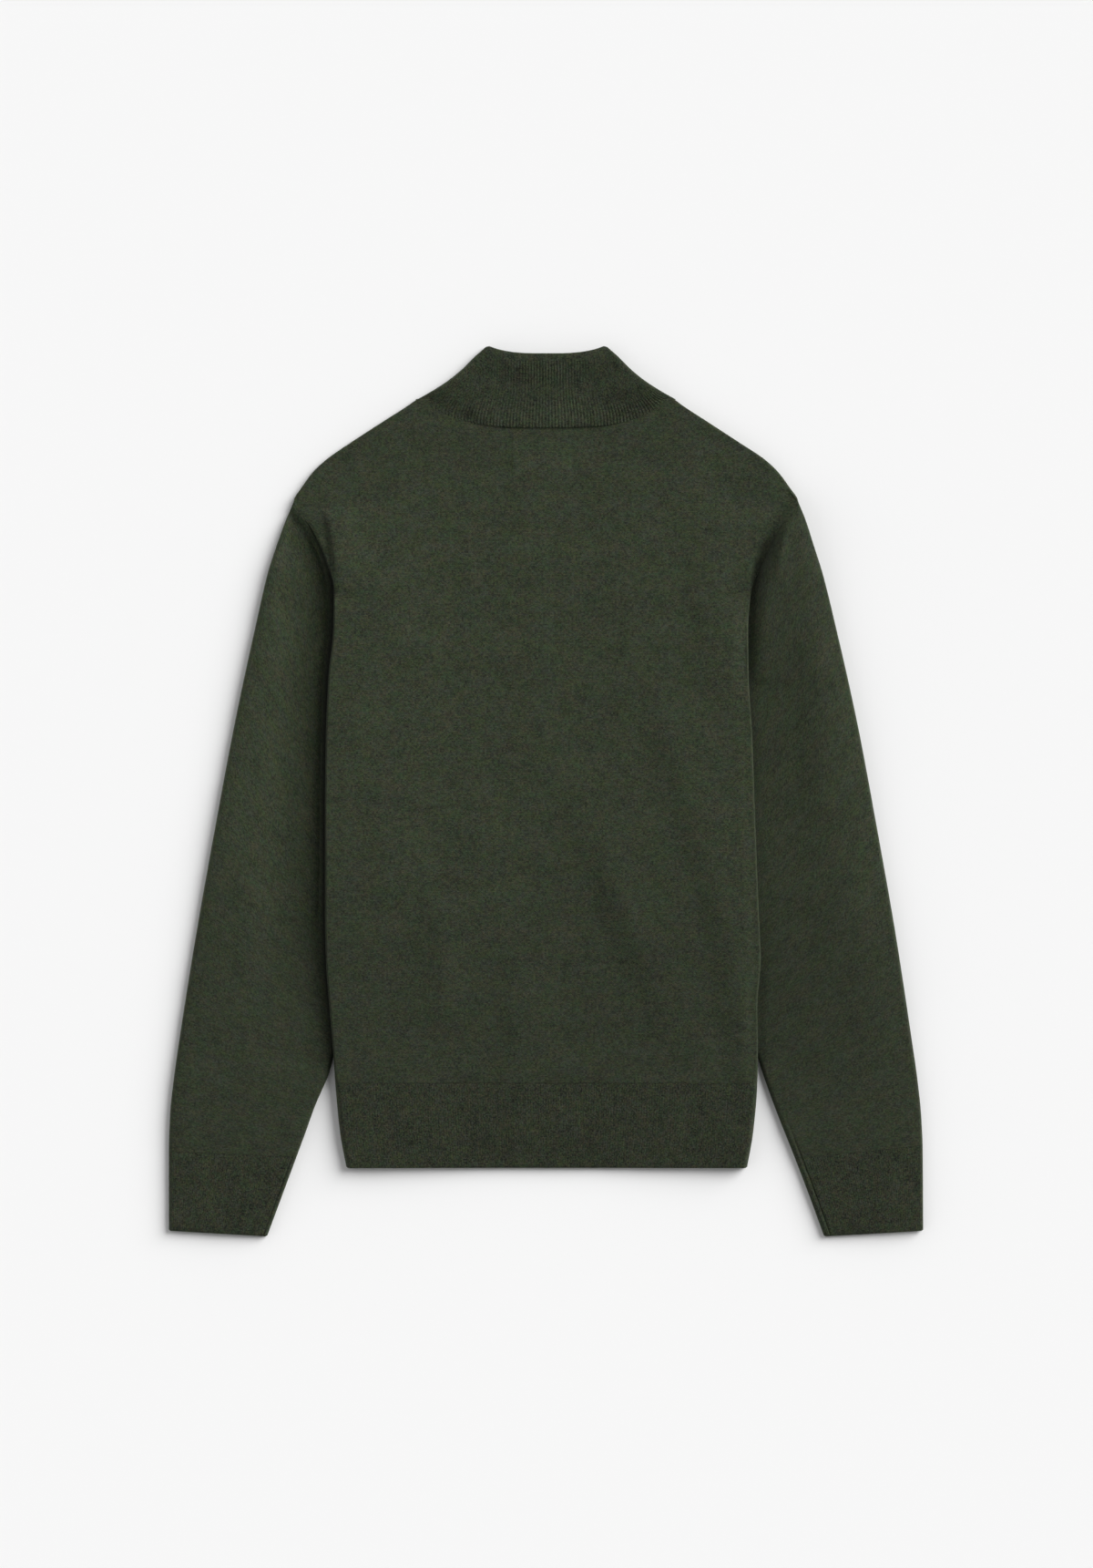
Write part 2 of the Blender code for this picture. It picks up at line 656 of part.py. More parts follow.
def collar_row(level):
    """A row round the collar, from one side of the zip, over the back, to the other."""
    height = collar_size("height", level)
    radius = height / 2
    half = collar_size("half_width", level) - radius
    side = collar_size("side", level)
    middle = COLLAR_BASE_Y + (COLLAR_TOP_Y - COLLAR_BASE_Y) * level
    raised = COLLAR_RAISE * (1 - ramp(level, 0.84, 0.95))

    def back_point(x, z):
        sunk = collar_size("sag", level) * (1 - ramp(abs(x), 20.0, 0.9 * half))
        return x, middle + (side - middle) * abs(x / half) ** 3.3, z - sunk

    def back(step, z, raised):
        """The back's points, one to a crest and one to a valley where step is 1."""
        points = []
        base = collar_size("half_width", 0.0)
        reach = step * (int(2 * base / COLLAR_PITCH / step) + 1)
        for k in range(-reach, reach + 1, step):
            c = k * COLLAR_PITCH / 2
            x = c - COLLAR_FAN * level * c**3 / base**2
            rising = 1 - 3 * COLLAR_FAN * level * c**2 / base**2
            if abs(x) < half - 0.6 and rising > 0.2:
                points.append((c, back_point(x, z + (raised / 2 if k % 2 else -raised / 2))))
        return points

    def round_fold(reach, z_in):
        """The side fold and the front of one side, going away from the back."""
        points = [(200, (half, side, radius + reach))]
        for i in range(1, 5):
            angle = math.radians(90 - 36 * i)
            points.append((200 + 10 * i, (half + reach * math.cos(angle), side,
                                          radius + reach * math.sin(angle))))
        for i, angle in enumerate(FRONT_ANGLES):
            x, y = collar_front_point(level, angle)
            points.append((250 + 10 * i, (x, y, z_in)))
        return points

    def chain(middle, reach, z_in):
        right = round_fold(reach, z_in)
        left = [(-p, (-x, y, z)) for p, (x, y, z) in reversed(right)]
        return left + middle + right

    outer = chain(back(1, height, raised), radius, 0.0)
    return outer, chain(back(4, height - COLLAR_RIB, 0.0), radius - COLLAR_RIB, COLLAR_RIB)


def make_collar():
    """The collar in one piece, from the zip round the neck to the zip."""
    rows = [collar_row(level) for level in (0.0, 0.25, 0.4, 0.6, 0.85, 1.0)]
    wall("collar", rows, RIB_GREEN, rims=(0, RIM))


# ---------------------------------------------------------------- zip

TAPE = 1.0  # tape thickness
TAPE_INNER, TAPE_OUTER = 1.3, 12.0
SLIDER_Y = 292.0
PLATE = 0.6  # each of the slider's two plates
PLATE_LOW, PLATE_HIGH = 1.85, 3.95  # undersides of its outer and inner plates
PIVOT_Y, PIVOT_Z = 291.0, 0.85
PIN_RADIUS, BORE_RADIUS, KNUCKLE_RADIUS = 0.36, 0.44, 0.8
TAB_LENGTH, TAB_WIDTH, TAB = 27.0, 5.0, 1.0


def prism(name, outline, low, high, collection=None):
    """A flat outline in millimetres made solid between two heights."""
    bm = bmesh.new()
    face = bm.faces.new([bm.verts.new((x * MM, y * MM, low * MM)) for x, y in outline])
    lifted = bmesh.ops.extrude_face_region(bm, geom=[face])["geom"]
    top = [v for v in lifted if isinstance(v, bmesh.types.BMVert)]
    bmesh.ops.translate(bm, verts=top, vec=(0, 0, (high - low) * MM))
    bmesh.ops.recalc_face_normals(bm, faces=bm.faces)
    mesh = bpy.data.meshes.new(name)
    bm.to_mesh(mesh)
    bm.free()
    if collection is None:
        return mesh
    obj = bpy.data.objects.new(name, mesh)
    collection.objects.link(obj)
    obj.hide_render = True
    obj.display_type = "WIRE"
    return obj


def rod(name, radius, length, y, z, sides=16):
    """A cylinder across the garment, kept as a tool for joining or cutting."""
    bpy.ops.mesh.primitive_cylinder_add(vertices=sides, radius=radius * MM, depth=length * MM,
                                        location=(0, y * MM, z * MM),
                                        rotation=(0, math.pi / 2, 0))
    obj = bpy.context.object
    obj.name = name
    for collection in list(obj.users_collection):
        collection.objects.unlink(obj)
    CUTTERS.objects.link(obj)
    obj.hide_render = True
    obj.display_type = "WIRE"
    return obj


def boolean(obj, tool, operation):
    """Joins or cuts obj with tool."""
    modifier = obj.modifiers.new(tool.name, "BOOLEAN")
    modifier.operation = operation
    modifier.object = tool


def make_tapes():
    """The two woven tapes, sewn behind the knit edges of the collar and front."""
    for side, sign in SIDES:
        rows = []
        for y in (ZIP_TOP_Y - 1, 240.0, 232.0, ZIP_BOTTOM_Y - 7):
            low = KNIT + SEAM + (COLLAR_RIB - KNIT) * ramp(y, 232.0, 240.0)
            xs = (TAPE_INNER, TAPE_OUTER)
            outer = [(i, (sign * x, y, low)) for i, x in enumerate(xs)]
            inner = [(i, (sign * x, y, low + TAPE)) for i, x in enumerate(xs)]
            rows.append((outer, inner))
        wall("zip_tape_" + side, rows, TAPE_GREEN)


def make_slider():
    """The slider: two plates joined by a wedge, with ears and a pin for the pull tab."""
    y = SLIDER_Y
    shield = [(-4.2, y + 5), (-4.4, y + 1), (-3.2, y - 4.5), (-2.4, y - 5),
              (2.4, y - 5), (3.2, y - 4.5), (4.4, y + 1), (4.2, y + 5)]
    slider = add_object("zip_slider", prism("zip_slider", shield, PLATE_LOW, PLATE_LOW + PLATE),
                        ZIP_METAL, roughness=0.35, metallic=1.0)
    inner_plate = prism("slider_inner_plate", shield, PLATE_HIGH, PLATE_HIGH + PLATE, CUTTERS)
    wedge = [(-1.0, y + 4.8), (0.0, y + 0.5), (1.0, y + 4.8)]
    post = prism("slider_wedge", wedge, PLATE_LOW + 0.3, PLATE_HIGH + 0.3, CUTTERS)
    boolean(slider, inner_plate, "UNION")
    boolean(slider, post, "UNION")
    for name, sign in SIDES:
        ear = [(sign * 2.9, PIVOT_Y - 0.9), (sign * 3.6, PIVOT_Y - 0.9),
               (sign * 3.6, PIVOT_Y + 0.9), (sign * 2.9, PIVOT_Y + 0.9)]
        boolean(slider, prism("slider_ear_" + name, ear, 0.05, PLATE_LOW + 0.3, CUTTERS), "UNION")
    boolean(slider, rod("slider_pin", PIN_RADIUS, 6.4, PIVOT_Y, PIVOT_Z), "UNION")


def make_pull_tab():
    """The pull tab, hung on the slider's pin and lying along the zip. Its origin is on the pin."""
    half, end = TAB_WIDTH / 2, PIVOT_Y - TAB_LENGTH
    outline = [(half - 0.3, PIVOT_Y - 0.2), (half, PIVOT_Y - 2.5), (half, end + 1.6)]
    outline += [(half - 1.6 + 1.6 * math.cos(a), end + 1.6 - 1.6 * math.sin(a))
                for a in (math.radians(30), math.radians(60), math.radians(90))]
    outline += [(-x, y) for x, y in reversed(outline)]
    low = PIVOT_Z - TAB / 2
    mesh = prism("pull_tab", outline, low, low + TAB)
    origin = (0, PIVOT_Y * MM, PIVOT_Z * MM)
    mesh.transform(Matrix.Translation((0, -origin[1], -origin[2])))
    tab = add_object("pull_tab", mesh, ZIP_METAL, roughness=0.35, metallic=1.0)
    tab.location = origin
    boolean(tab, rod("tab_knuckle", KNUCKLE_RADIUS, 2 * (half - 0.3), PIVOT_Y, PIVOT_Z), "UNION")
    eye = [(math.cos(a) * 1.1, end + 3.6 + math.sin(a) * 1.1)
           for a in [math.radians(30 * i) for i in range(12)]]
    boolean(tab, prism("tab_eye", eye, low - 1, low + TAB + 1, CUTTERS), "DIFFERENCE")
    boolean(tab, rod("tab_bore", BORE_RADIUS, 12, PIVOT_Y, PIVOT_Z), "DIFFERENCE")


# ---------------------------------------------------------------- the sweater

for old in list(bpy.data.objects):
    bpy.data.objects.remove(old)
SWEATER = bpy.data.collections.new("quarter_zip_sweater")
CUTTERS = bpy.data.collections.new("cutters")
bpy.context.scene.collection.children.link(SWEATER)
bpy.context.scene.collection.children.link(CUTTERS)
LAID = bpy.data.objects.new("laid_flat", None)
SWEATER.objects.link(LAID)

make_body()
make_sleeves()
make_collar()
make_tapes()
make_slider()
make_pull_tab()
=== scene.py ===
# Quarter zip sweater in heathered fine knit, laid flat on its front with its back up.
# Sizes in the tables and functions are millimetres in the CAD's frame; meshes are in metres.

import math
from collections import namedtuple
from functools import lru_cache, partial

import bpy
import numpy as np
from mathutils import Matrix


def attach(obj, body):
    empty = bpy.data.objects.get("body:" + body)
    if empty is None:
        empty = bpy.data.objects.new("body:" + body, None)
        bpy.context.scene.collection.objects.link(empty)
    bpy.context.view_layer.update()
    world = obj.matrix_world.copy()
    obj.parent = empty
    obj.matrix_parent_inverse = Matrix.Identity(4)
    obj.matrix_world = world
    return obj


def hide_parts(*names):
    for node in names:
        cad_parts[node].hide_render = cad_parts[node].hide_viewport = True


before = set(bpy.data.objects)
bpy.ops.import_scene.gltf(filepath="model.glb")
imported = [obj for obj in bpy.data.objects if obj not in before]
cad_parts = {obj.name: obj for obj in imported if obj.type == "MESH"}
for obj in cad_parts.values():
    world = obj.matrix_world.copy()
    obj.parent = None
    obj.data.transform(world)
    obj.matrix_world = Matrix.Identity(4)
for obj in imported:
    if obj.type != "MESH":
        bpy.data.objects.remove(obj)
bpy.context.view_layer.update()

MM = 0.001

# ---- sizes shared with the CAD

KNIT = 1.6  # wall of the plain knit
RIB = 2.2  # wall of the hem and cuff ribs
COLLAR_RIB = 2.4  # wall of the collar, which is two layers deep
SEAM = 0.3  # clearance between two sewn pieces
STITCHED = 0.06  # the same where the seam shows flush, at the shoulders
FINE_PITCH = 2.24  # hem and cuff ribs, crest to crest
COLLAR_PITCH = 2.86
COLLAR_FAN = 0.55  # how far the collar's ribs lean out at the sides

NECK_Y = 343.6  # top of the back and front panels
TIP_Y = 254.0  # shoulder seam's outer end
ARMPIT_Y = 40.0
HEM_TOP_Y = -256.0
HEM_Y = -330.0
ZIP_TOP_Y, ZIP_BOTTOM_Y = 303.0, 131.0

RAMP = 30.0  # width of the slope where the turned-under layers step down
TUCK_RAMP = 25.0  # width of the steeper slope over a tucked sleeve's edge
SLEEVE_LOFT = 6.2  # height of a sleeve that lies free
LEAST_FOLD = 3.5  # height of a folded edge above the sleeve where the armhole sinks in
SLEEVE_EDGE = 6.4  # height of a sleeve just inside its outer edge
FULL_BACK = 9.2  # height of the back beside the armholes
BACK_SLOPE = 105.0  # how far within the turned-under layers the back begins to rise
TURN_SLOT = 0.6  # slot inside the front's turned-under sides
ZIP_HALF = 6.0  # half the opening between the knit edges that the zip fills

SIDES = (("left", -1), ("right", 1))


def table(columns, *rows):
    """Rows of named values, mostly by the height y that they hold at."""
    Row = namedtuple("Row", columns)
    return tuple(Row(*row) for row in rows)


# The body's edge as it lies, neck point to hem: half widths from the middle line
BODY_EDGE = table(
    "y left right",
    (344, 114.6, 113), (338, 123.2, 121.2), (326.8, 140.8, 138.4), (304.4, 175.2, 172.8),
    (293.2, 191.4, 189.8), (282, 204, 202.4), (268, 214.5, 213), (TIP_Y, 222.4, 221.2),
    (231, 206.5, 205), (200, 192.8, 189.5), (175, 186.6, 179.5), (140, 187.2, 177),
    (103, 191.2, 177.4), (44, 193.7, 180.8), (-15, 194.4, 182.8), (-108, 194.4, 186.4),
    (-146, 193.6, 188), (-191, 190.4, 185), (-226, 187.4, 185.6), (HEM_TOP_Y, 185.6, 185.2),
    (-300, 181.4, 181.6), (HEM_Y, 176, 176.4),
)

# The body's layers at its edge: height of what lies under it, and how far it is turned under
LAYERS = table(
    "y lift turn",
    (344, 0, 3.6), (326, 0, 6.6), (302, 0, 7), (266, 0, 7), (250, 2.6, 3.4), (186, 5.2, 3.4),
    (160, 5.2, 14), (100, 5.2, 44), (ARMPIT_Y, 5.2, 62), (-100, 5.2, 62), (-238, 5.2, 57),
    (HEM_TOP_Y, 2.8, 56), (HEM_Y, 0, 46),
)

# The sleeves' outer edge, shoulder tip to cuff
SLEEVE_OUTER = table(
    "y left right",
    (TIP_Y, 222.46, 221.26), (237, 229.6, 228), (214.8, 237.6, 235.2), (192.4, 244.8, 242.4),
    (147.6, 255.2, 253.6), (58, 274.4, 273.6), (-31.6, 291.2, 290.4), (-121.2, 307.2, 306.2),
    (-210.8, 321.6, 320), (-255.6, 328, 326.4), (-285, 331, 329.4), (-316, 332, 330.8),
    (-385.2, 332, 331.2),
)

# The sleeves' inner edge, the underarm fold, armpit to cuff
SLEEVE_INNER = table(
    "y left right",
    (ARMPIT_Y, 132, 119.2), (-60, 151, 141), (-150, 172.5, 164), (-205, 181.5, 177.5),
    (-244, 190, 188.8), (-278, 204, 200.8), (-300.4, 212, 209.6), (-322, 220, 218.2),
    (-356, 232.6, 231.2), (-391, 245.6, 244),
)

# Where the cuffs begin and end, at their outer and inner edges
CuffLine = namedtuple("CuffLine", "outer inner")
CUFF_TOP = {"left": CuffLine(-316.4, -321.2), "right": CuffLine(-311.0, -322.4)}
CUFF_END = {"left": CuffLine(-385.2, -390.4), "right": CuffLine(-385.2, -390.4)}

# The collar's side folds, from level 0 at the base to 1 at the top edge, and its height there
COLLAR = table(
    "y half_width side height",
    (0, 113.6, 344.5, 8.5), (0.2, 104.4, 349.5, 8.4), (0.4, 87.6, 360, 8.1), (0.6, 74, 371, 7.2),
    (0.8, 63, 382, 6.6), (1, 53.5, 390.4, 6.2),
)
COLLAR_BASE_Y, COLLAR_TOP_Y = 319.8, 383.8  # middle of the back
COLLAR_FRONT_BASE_Y = 243.0  # at the zip

# ---- how the cloth has settled

# Soft cloth stands a little above the solids: height of the back in the middle, of the body's
# folded edges, and of the sleeves just beside those edges and along their crests
STANDING = table(
    "y middle edge_left edge_right beside_left beside_right crest",
    (344, 1.7, 5.8, 5.8, 6.2, 6.2, 6.4), (333, 3.2, 6, 6, 6.2, 6.2, 6.4),
    (326, 4.4, 6.2, 6.2, 6.2, 6.2, 6.4), (319, 5.3, 6.2, 6.2, 6.2, 6.2, 6.4),
    (302, 6.2, 6.3, 6.3, 6.2, 6.2, 6.4), (270, 7.6, 6.4, 6.2, 6.2, 6.2, 6.4),
    (TIP_Y, 8.1, 6.5, 5.6, 6.5, 5.6, 6.6), (244, 8.4, 7.2, 4.8, 7.2, 4.8, 7.2),
    (236, 8.6, 7.8, 4.2, 7.5, 4.2, 7.8), (226, 8.8, 8.8, 3.8, 6, 3.8, 8.4),
    (215, 9, 10.2, 3.7, 4.7, 3.7, 8.9), (204, 9.2, 11.8, 3.7, 3.9, 3.7, 9.2),
    (190, 9.4, 13.6, 4.6, 3.6, 3.6, 9.4), (176, 9.6, 15.2, 7.6, 3.5, 3.5, 9.6),
    (158, 9.6, 16.2, 10.3, 3.4, 3.5, 9.8), (120, 9.6, 16.6, 12.2, 3.4, 3.5, 10),
    (-60, 9.6, 16.4, 12.4, 3.5, 3.6, 10), (-150, 9.4, 14.8, 12.2, 4, 4, 9.7),
    (-236, 9.4, 12.8, 11.9, 4.8, 4.6, 9.2), (-256, 9.2, 12, 11.8, 6, 6, 8.8),
    (-300, 7.6, 10.8, 10.6, 6.4, 6.4, 8), (-330, 5.8, 9.6, 9.6, 6, 6, 7.4),
    (-390, 5.8, 9.6, 9.6, 5.6, 5.6, 6.4),
)

# How far the collar's back dips, by the same levels
COLLAR_DIP = table(
    "y dip",
    (0, 1.5), (0.1, 2.1), (0.2, 3), (0.36, 4), (0.42, 3.8), (0.5, 3.2), (0.6, 2.1), (0.7, 1),
    (0.8, -0.1), (0.9, -1), (1, -1.7),
)

# Where the back sinks to the armhole: from and to how far out, a crisp edge low down
RIGHT_SINK = table(
    "y start end",
    (256, 205, 221), (240, 194, 210), (225, 185, 200), (212, 180.6, 192), (202, 179, 185),
    (194, 178.4, 181.8), (182, 177.6, 180.2), (172, 176.4, 178.4), (160, 176, 177.8),
)
LEFT_SINK = table(
    "y start end",
    (256, 190, 218), (150, 156, 178),
)

# A soft fold along a line: the cloth rises to the right of the line by rise over twice width,
# then sinks back over tail. A negative rise falls to the right.
Fold = namedtuple("Fold", "points width rise tail")
BACK_FOLDS = (
    # two long drag lines, down and out to the right of the hem
    Fold(((84, 76), (111, 12), (132, -60), (147, -120), (160, -200), (168, -262)), 16, 4.2, 30),
    Fold(((2, 24), (33, -46), (59, -112), (80, -160), (110, -240)), 15, 4.0, 38),
    # under the right shoulder
    Fold(((127, 218), (136, 150), (137, 84)), 21, 3.8, 38),
    Fold(((70, 120), (92, 60), (100, 20)), 16, 1.2, 30),
    # lower left, above the hem
    Fold(((-105, -90), (-101, -150), (-96, -216)), 20, 3.8, 38),
    Fold(((-44, -146), (-38, -190), (-34, -236)), 13, 1.8, 30),
    Fold(((-10, -150), (2, -200), (8, -240)), 18, -1.2, 30),
    # upper left
    Fold(((-158, 196), (-154, 160), (-152, 128)), 11, 1.4, 25),
    Fold(((-80, 130), (-72, 95), (-76, 60)), 14, 0.9, 25),
)
# the pinch beside the left armhole
PINCH_FOLDS = (
    Fold(((-194, 245), (-191.6, 230), (-189.2, 216), (-187.6, 203), (-188.6, 190), (-191, 174)),
         1.5, 5.0, 30),
    Fold(((-217, 248), (-207, 233), (-200, 219), (-195.5, 206), (-193, 195), (-192.5, 182)),
         3.4, 1.4, 50),
)
# where the cloth swells up from the right armhole, on the back and the sleeve alike
ARMHOLE_FOLDS = (
    Fold(((232, 284), (219, 257), (207.5, 236), (197.5, 215), (190, 192), (186.5, 167),
          (183, 135), (180, 95)), 7.6, 12.0, 32),
)
LEFT_SLEEVE_FOLDS = (
    Fold(((-221, 266), (-226.5, 240), (-229.5, 222), (-234, 199), (-241, 150)), 3.8, -4.8, 60),
    Fold(((-231, 168), (-236, 120), (-246, -40), (-256, -150), (-266, -240)), 16, -3.6, 90),
)
RIGHT_SLEEVE_FOLDS = (
    Fold(((218, 262), (208.5, 248), (206, 231), (203.5, 216), (201, 199), (199, 182)), 3, 4.6, 8),
    Fold(((232, 150), (230, 80), (230, 0), (234, -70)), 16, 2.8, 60),
    Fold(((240, -70), (262, -150), (282, -215)), 26, 2.4, 60),
)

# Painted shade: how light the colour is painted on the body and on each sleeve, by height; darker
# under the collar and towards the hem, and darker on the right sleeve than on the left
PAINTED_LIGHT_LEVEL = table(
    "y body left right",
    (330, 0.84, 1, 0.85), (288, 0.91, 1, 0.84), (215, 0.95, 1.03, 0.83), (130, 0.94, 1.03, 0.92),
    (-30, 0.90, 1, 0.93), (-75, 0.86, 0.93, 0.88), (-150, 0.785, 0.82, 0.77),
    (-256, 0.785, 0.82, 0.75), (-270, 0.785, 0.785, 0.785),
)

# Painted shade along the pinch beside the left armhole, and a painted highlight down the right
# shoulder's ridge
PAINTED_SHADE_AND_HIGHLIGHT_FOLDS = {
    "body": (Fold(((-195, 244), (-192.4, 230), (-190, 216), (-188.6, 203), (-189.6, 190),
                   (-191, 174)), 2.0, 0.42, 2.5),),
    "sleeve": (Fold(((214, 258), (210.5, 244), (208.5, 231), (206.5, 216), (204, 199),
                     (202, 184)), 2.5, -0.17, 6),),
}

# Painted shade in the crease between body and sleeve: how dark, and how far out
CREASE_PAINTED_SHADE = table(
    "y left left_width right right_width",
    (250, 0, 4, 0, 5), (236, 0.4, 2.4, 0.22, 5), (222, 0.5, 3, 0.42, 6),
    (204, 0.62, 4.5, 0.52, 6.5), (182, 0.88, 5.4, 0.5, 7), (126, 0.92, 5.6, 0.4, 6),
    (6, 0.92, 4.8, 0.24, 6), (-150, 0.86, 3.2, 0.12, 5), (-230, 0.7, 2.6, 0.08, 4),
    (-262, 0, 2.6, 0, 4),
)


@lru_cache(maxsize=None)
def curve(rows, column):
    """A table's column as heights, values and the slopes of a smooth curve through them."""
    rows = sorted(rows)
    ys = np.array([row.y for row in rows], float)
    values = np.array([getattr(row, column) for row in rows], float)
    slopes = np.diff(values) / np.diff(ys)
    before, after = slopes[:-1], slopes[1:]
    turns = before * after <= 0
    inner = np.where(turns, 0.0, 2 * before * after / np.where(turns, 1.0, before + after))
    return ys, values, np.concatenate((slopes[:1], inner, slopes[-1:]))


def read(rows, column, y):
    """A table's column at heights y, on a smooth curve that passes through its rows."""
    ys, values, slopes = curve(rows, column)
    y = np.clip(y, ys[0], ys[-1])
    at = np.clip(np.searchsorted(ys, y, side="right") - 1, 0, len(ys) - 2)
    span = ys[at + 1] - ys[at]
    t = (y - ys[at]) / span
    return (values[at] * (2 * t**3 - 3 * t**2 + 1) + slopes[at] * span * (t**3 - 2 * t**2 + t)
            + values[at + 1] * (3 * t**2 - 2 * t**3) + slopes[at + 1] * span * (t**3 - t**2))


def ramp(x, low, high):
    """0 below low and 1 above high, with a soft slope between."""
    t = np.clip((x - low) / (high - low), 0.0, 1.0)
    return t * t * (3 - 2 * t)


def fade(x, low, high):
    """1 below low and 0 above high, with a soft slope between."""
    return 1 - ramp(x, low, high)


def between(a, b, share):
    """The value at a share of the way from a to b."""
    return a + (b - a) * share


def smooth_line(points):
    """Points on a smooth curve through a few."""
    p = np.array([points[0], *points, points[-1]], float)
    line = []
    for a, b, c, d in zip(p, p[1:], p[2:], p[3:]):
        for t in np.arange(8) / 8:
            line.append(0.5 * (2 * b + (c - a) * t + (2 * a - 5 * b + 4 * c - d) * t**2
                               + (3 * b - a - 3 * c + d) * t**3))
    return np.array([*line, p[-1]])


def from_line(points, x, y):
    """Distance of points from a line, positive to its right, and their share of the way along."""
    line = smooth_line(points)
    nearest = np.full(np.shape(x), 1e9)
    away, along = np.zeros(np.shape(x)), np.zeros(np.shape(x))
    for i, (a, b) in enumerate(zip(line, line[1:])):
        dx, dy = b - a
        t = np.clip(((x - a[0]) * dx + (y - a[1]) * dy) / (dx * dx + dy * dy), 0, 1)
        off_x, off_y = x - a[0] - t * dx, y - a[1] - t * dy
        distance = np.hypot(off_x, off_y)
        closer = distance < nearest
        nearest = np.where(closer, distance, nearest)
        away = np.where(closer, distance * np.sign(dx * off_y - dy * off_x), away)
        along = np.where(closer, (i + t) / (len(line) - 1), along)
    return away, along


def folds_height(folds, x, y):
    """Height that the folds add to the cloth."""
    height = np.zeros(np.shape(x))
    for fold in folds:
        away, along = from_line(fold.points, x, y)
        strength = np.sin(math.pi * np.clip(along, 0, 1)) ** 0.7
        sinking = 1 + (np.maximum(away, 0) / fold.tail) ** 2
        height += fold.rise * strength * ramp(away, -fold.width, fold.width) / sinking
    return height


# Slight unevenness of cloth that was pressed and laid by hand: waves of unlike length and lie
WAVES = table(
    "length angle phase height",
    (83, 12, 0.4, 0.20), (57, -38, 1.9, 0.13), (41, 71, 3.3, 0.10), (33, 8, 5.1, 0.07),
    (27, -64, 0.9, 0.06), (21, 33, 2.6, 0.045), (15.5, -15, 4.2, 0.03), (12.5, 52, 1.3, 0.025),
)


def unevenness(x, y):
    """Small irregular waves all over the cloth."""
    height = np.zeros(np.broadcast(x, y).shape)
    bend_x, bend_y = 9 * np.sin(y / 47 + 1), 9 * np.sin(x / 39 + 2)
    for wave in WAVES:
        c, s = math.cos(math.radians(wave.angle)), math.sin(math.radians(wave.angle))
        run = (x + bend_x) * c + (y + bend_y) * s
        height += wave.height * np.sin(math.tau * run / wave.length + wave.phase)
    return height


def rectangle(x, y, left, right, low, high):
    """1 inside a rectangle and 0 outside. Its edges slope softly between the pairs given."""
    return ramp(x, *left) * fade(x, *right) * ramp(y, *low) * fade(y, *high)


def imprints(x, y):
    """What the neck label and the zip beneath press into the back."""
    zip_line = -0.6 * np.exp(-((x - 5.5) / 7) ** 2)
    zip_line = zip_line * ramp(y, 118, 140) * fade(y, 262, 290)
    return zip_line + 0.55 * rectangle(x, y, (-31, -29), (20, 22), (274, 277), (308, 312))


# ---- where the layers lie


def seam_x(y, side):
    """Inner end of the back's turned-under edge."""
    return read(BODY_EDGE, side, y) - read(LAYERS, "turn", y)


def swell(x, y, side):
    """Height of the swelling beside the right armhole."""
    return folds_height(ARMHOLE_FOLDS, x, y) if side == "right" else 0.0


def edge_height(y, side):
    """Height of the body's folded edge."""
    return read(STANDING, "edge_" + side, y) + swell(read(BODY_EDGE, side, y), y, side)


def lift(y, side):
    """Height of what lies under the body's edge; less where the armhole sinks in."""
    return np.minimum(read(LAYERS, "lift", y), read(STANDING, "edge_" + side, y) - LEAST_FOLD)


def fold_height(y, side):
    """Height of the body's folded edge above what it lies on."""
    return edge_height(y, side) - lift(y, side)


def free(y):
    """0 where the body's edge lies on a sleeve, 1 below, where both lie free."""
    return ramp(-y, 236, 262)


def roll(y, side):
    """How far the body's edge rounds out sideways: full at the hem and shoulder, tight where it
    lies on the sleeve, and crisp along the armhole."""
    full = fold_height(y, side) / 2
    tight = 1.9 - 1.7 * ramp(y, 150, 176)
    return between(full, tight, (1 - free(y)) * fade(y, 250, 264))


def bend_x(y, side):
    """Where the folded layers begin to bend round at the body's edge."""
    return read(BODY_EDGE, side, y) - roll(y, side)


def armhole_x(y, side):
    """The armhole: along the body's edge at the shoulder, then under the body to the armpit."""
    hidden = fade(y, 164.0, 186.0)
    return read(BODY_EDGE, side, y) + STITCHED - read(LAYERS, "turn", y) * hidden


def ground(x, y, side):
    """Height of what the body lies on: the tucked sleeve, or the surface."""
    edge = np.where(y >= ARMPIT_Y, armhole_x(y, side), read(SLEEVE_INNER, side, y)) - 3
    return lift(y, side) * ramp(x, edge - TUCK_RAMP, edge)


def back_height(x, y, side, sign):
    """Height of the back's outer face, x out from the middle."""
    seam, bend = seam_x(y, side), bend_x(y, side)
    middle, edge = read(STANDING, "middle", y), read(STANDING, "edge_" + side, y)
    settled = folds_height(BACK_FOLDS, sign * x, y) + unevenness(sign * x, y)
    settled = (settled + imprints(sign * x, y)) * fade(x, bend - 12, bend)
    settled = settled * fade(y, 300, 326) * (1 - 0.55 * ramp(-y, 250, 325))
    settled = settled + folds_height(PINCH_FOLDS, sign * x, y) * fade(x, bend - 2.4, bend)
    # along the armhole the back stays full, then sinks to the seam
    full = between(edge, np.maximum(edge, FULL_BACK), fade(y, 236, 258))
    sink = RIGHT_SINK if side == "right" else LEFT_SINK
    dip = (full - edge) * ramp(x, read(sink, "start", y), read(sink, "end", y))
    rise = ramp(x, seam - BACK_SLOPE, bend)
    return between(middle, full, rise) - dip + settled + swell(x, y, side)


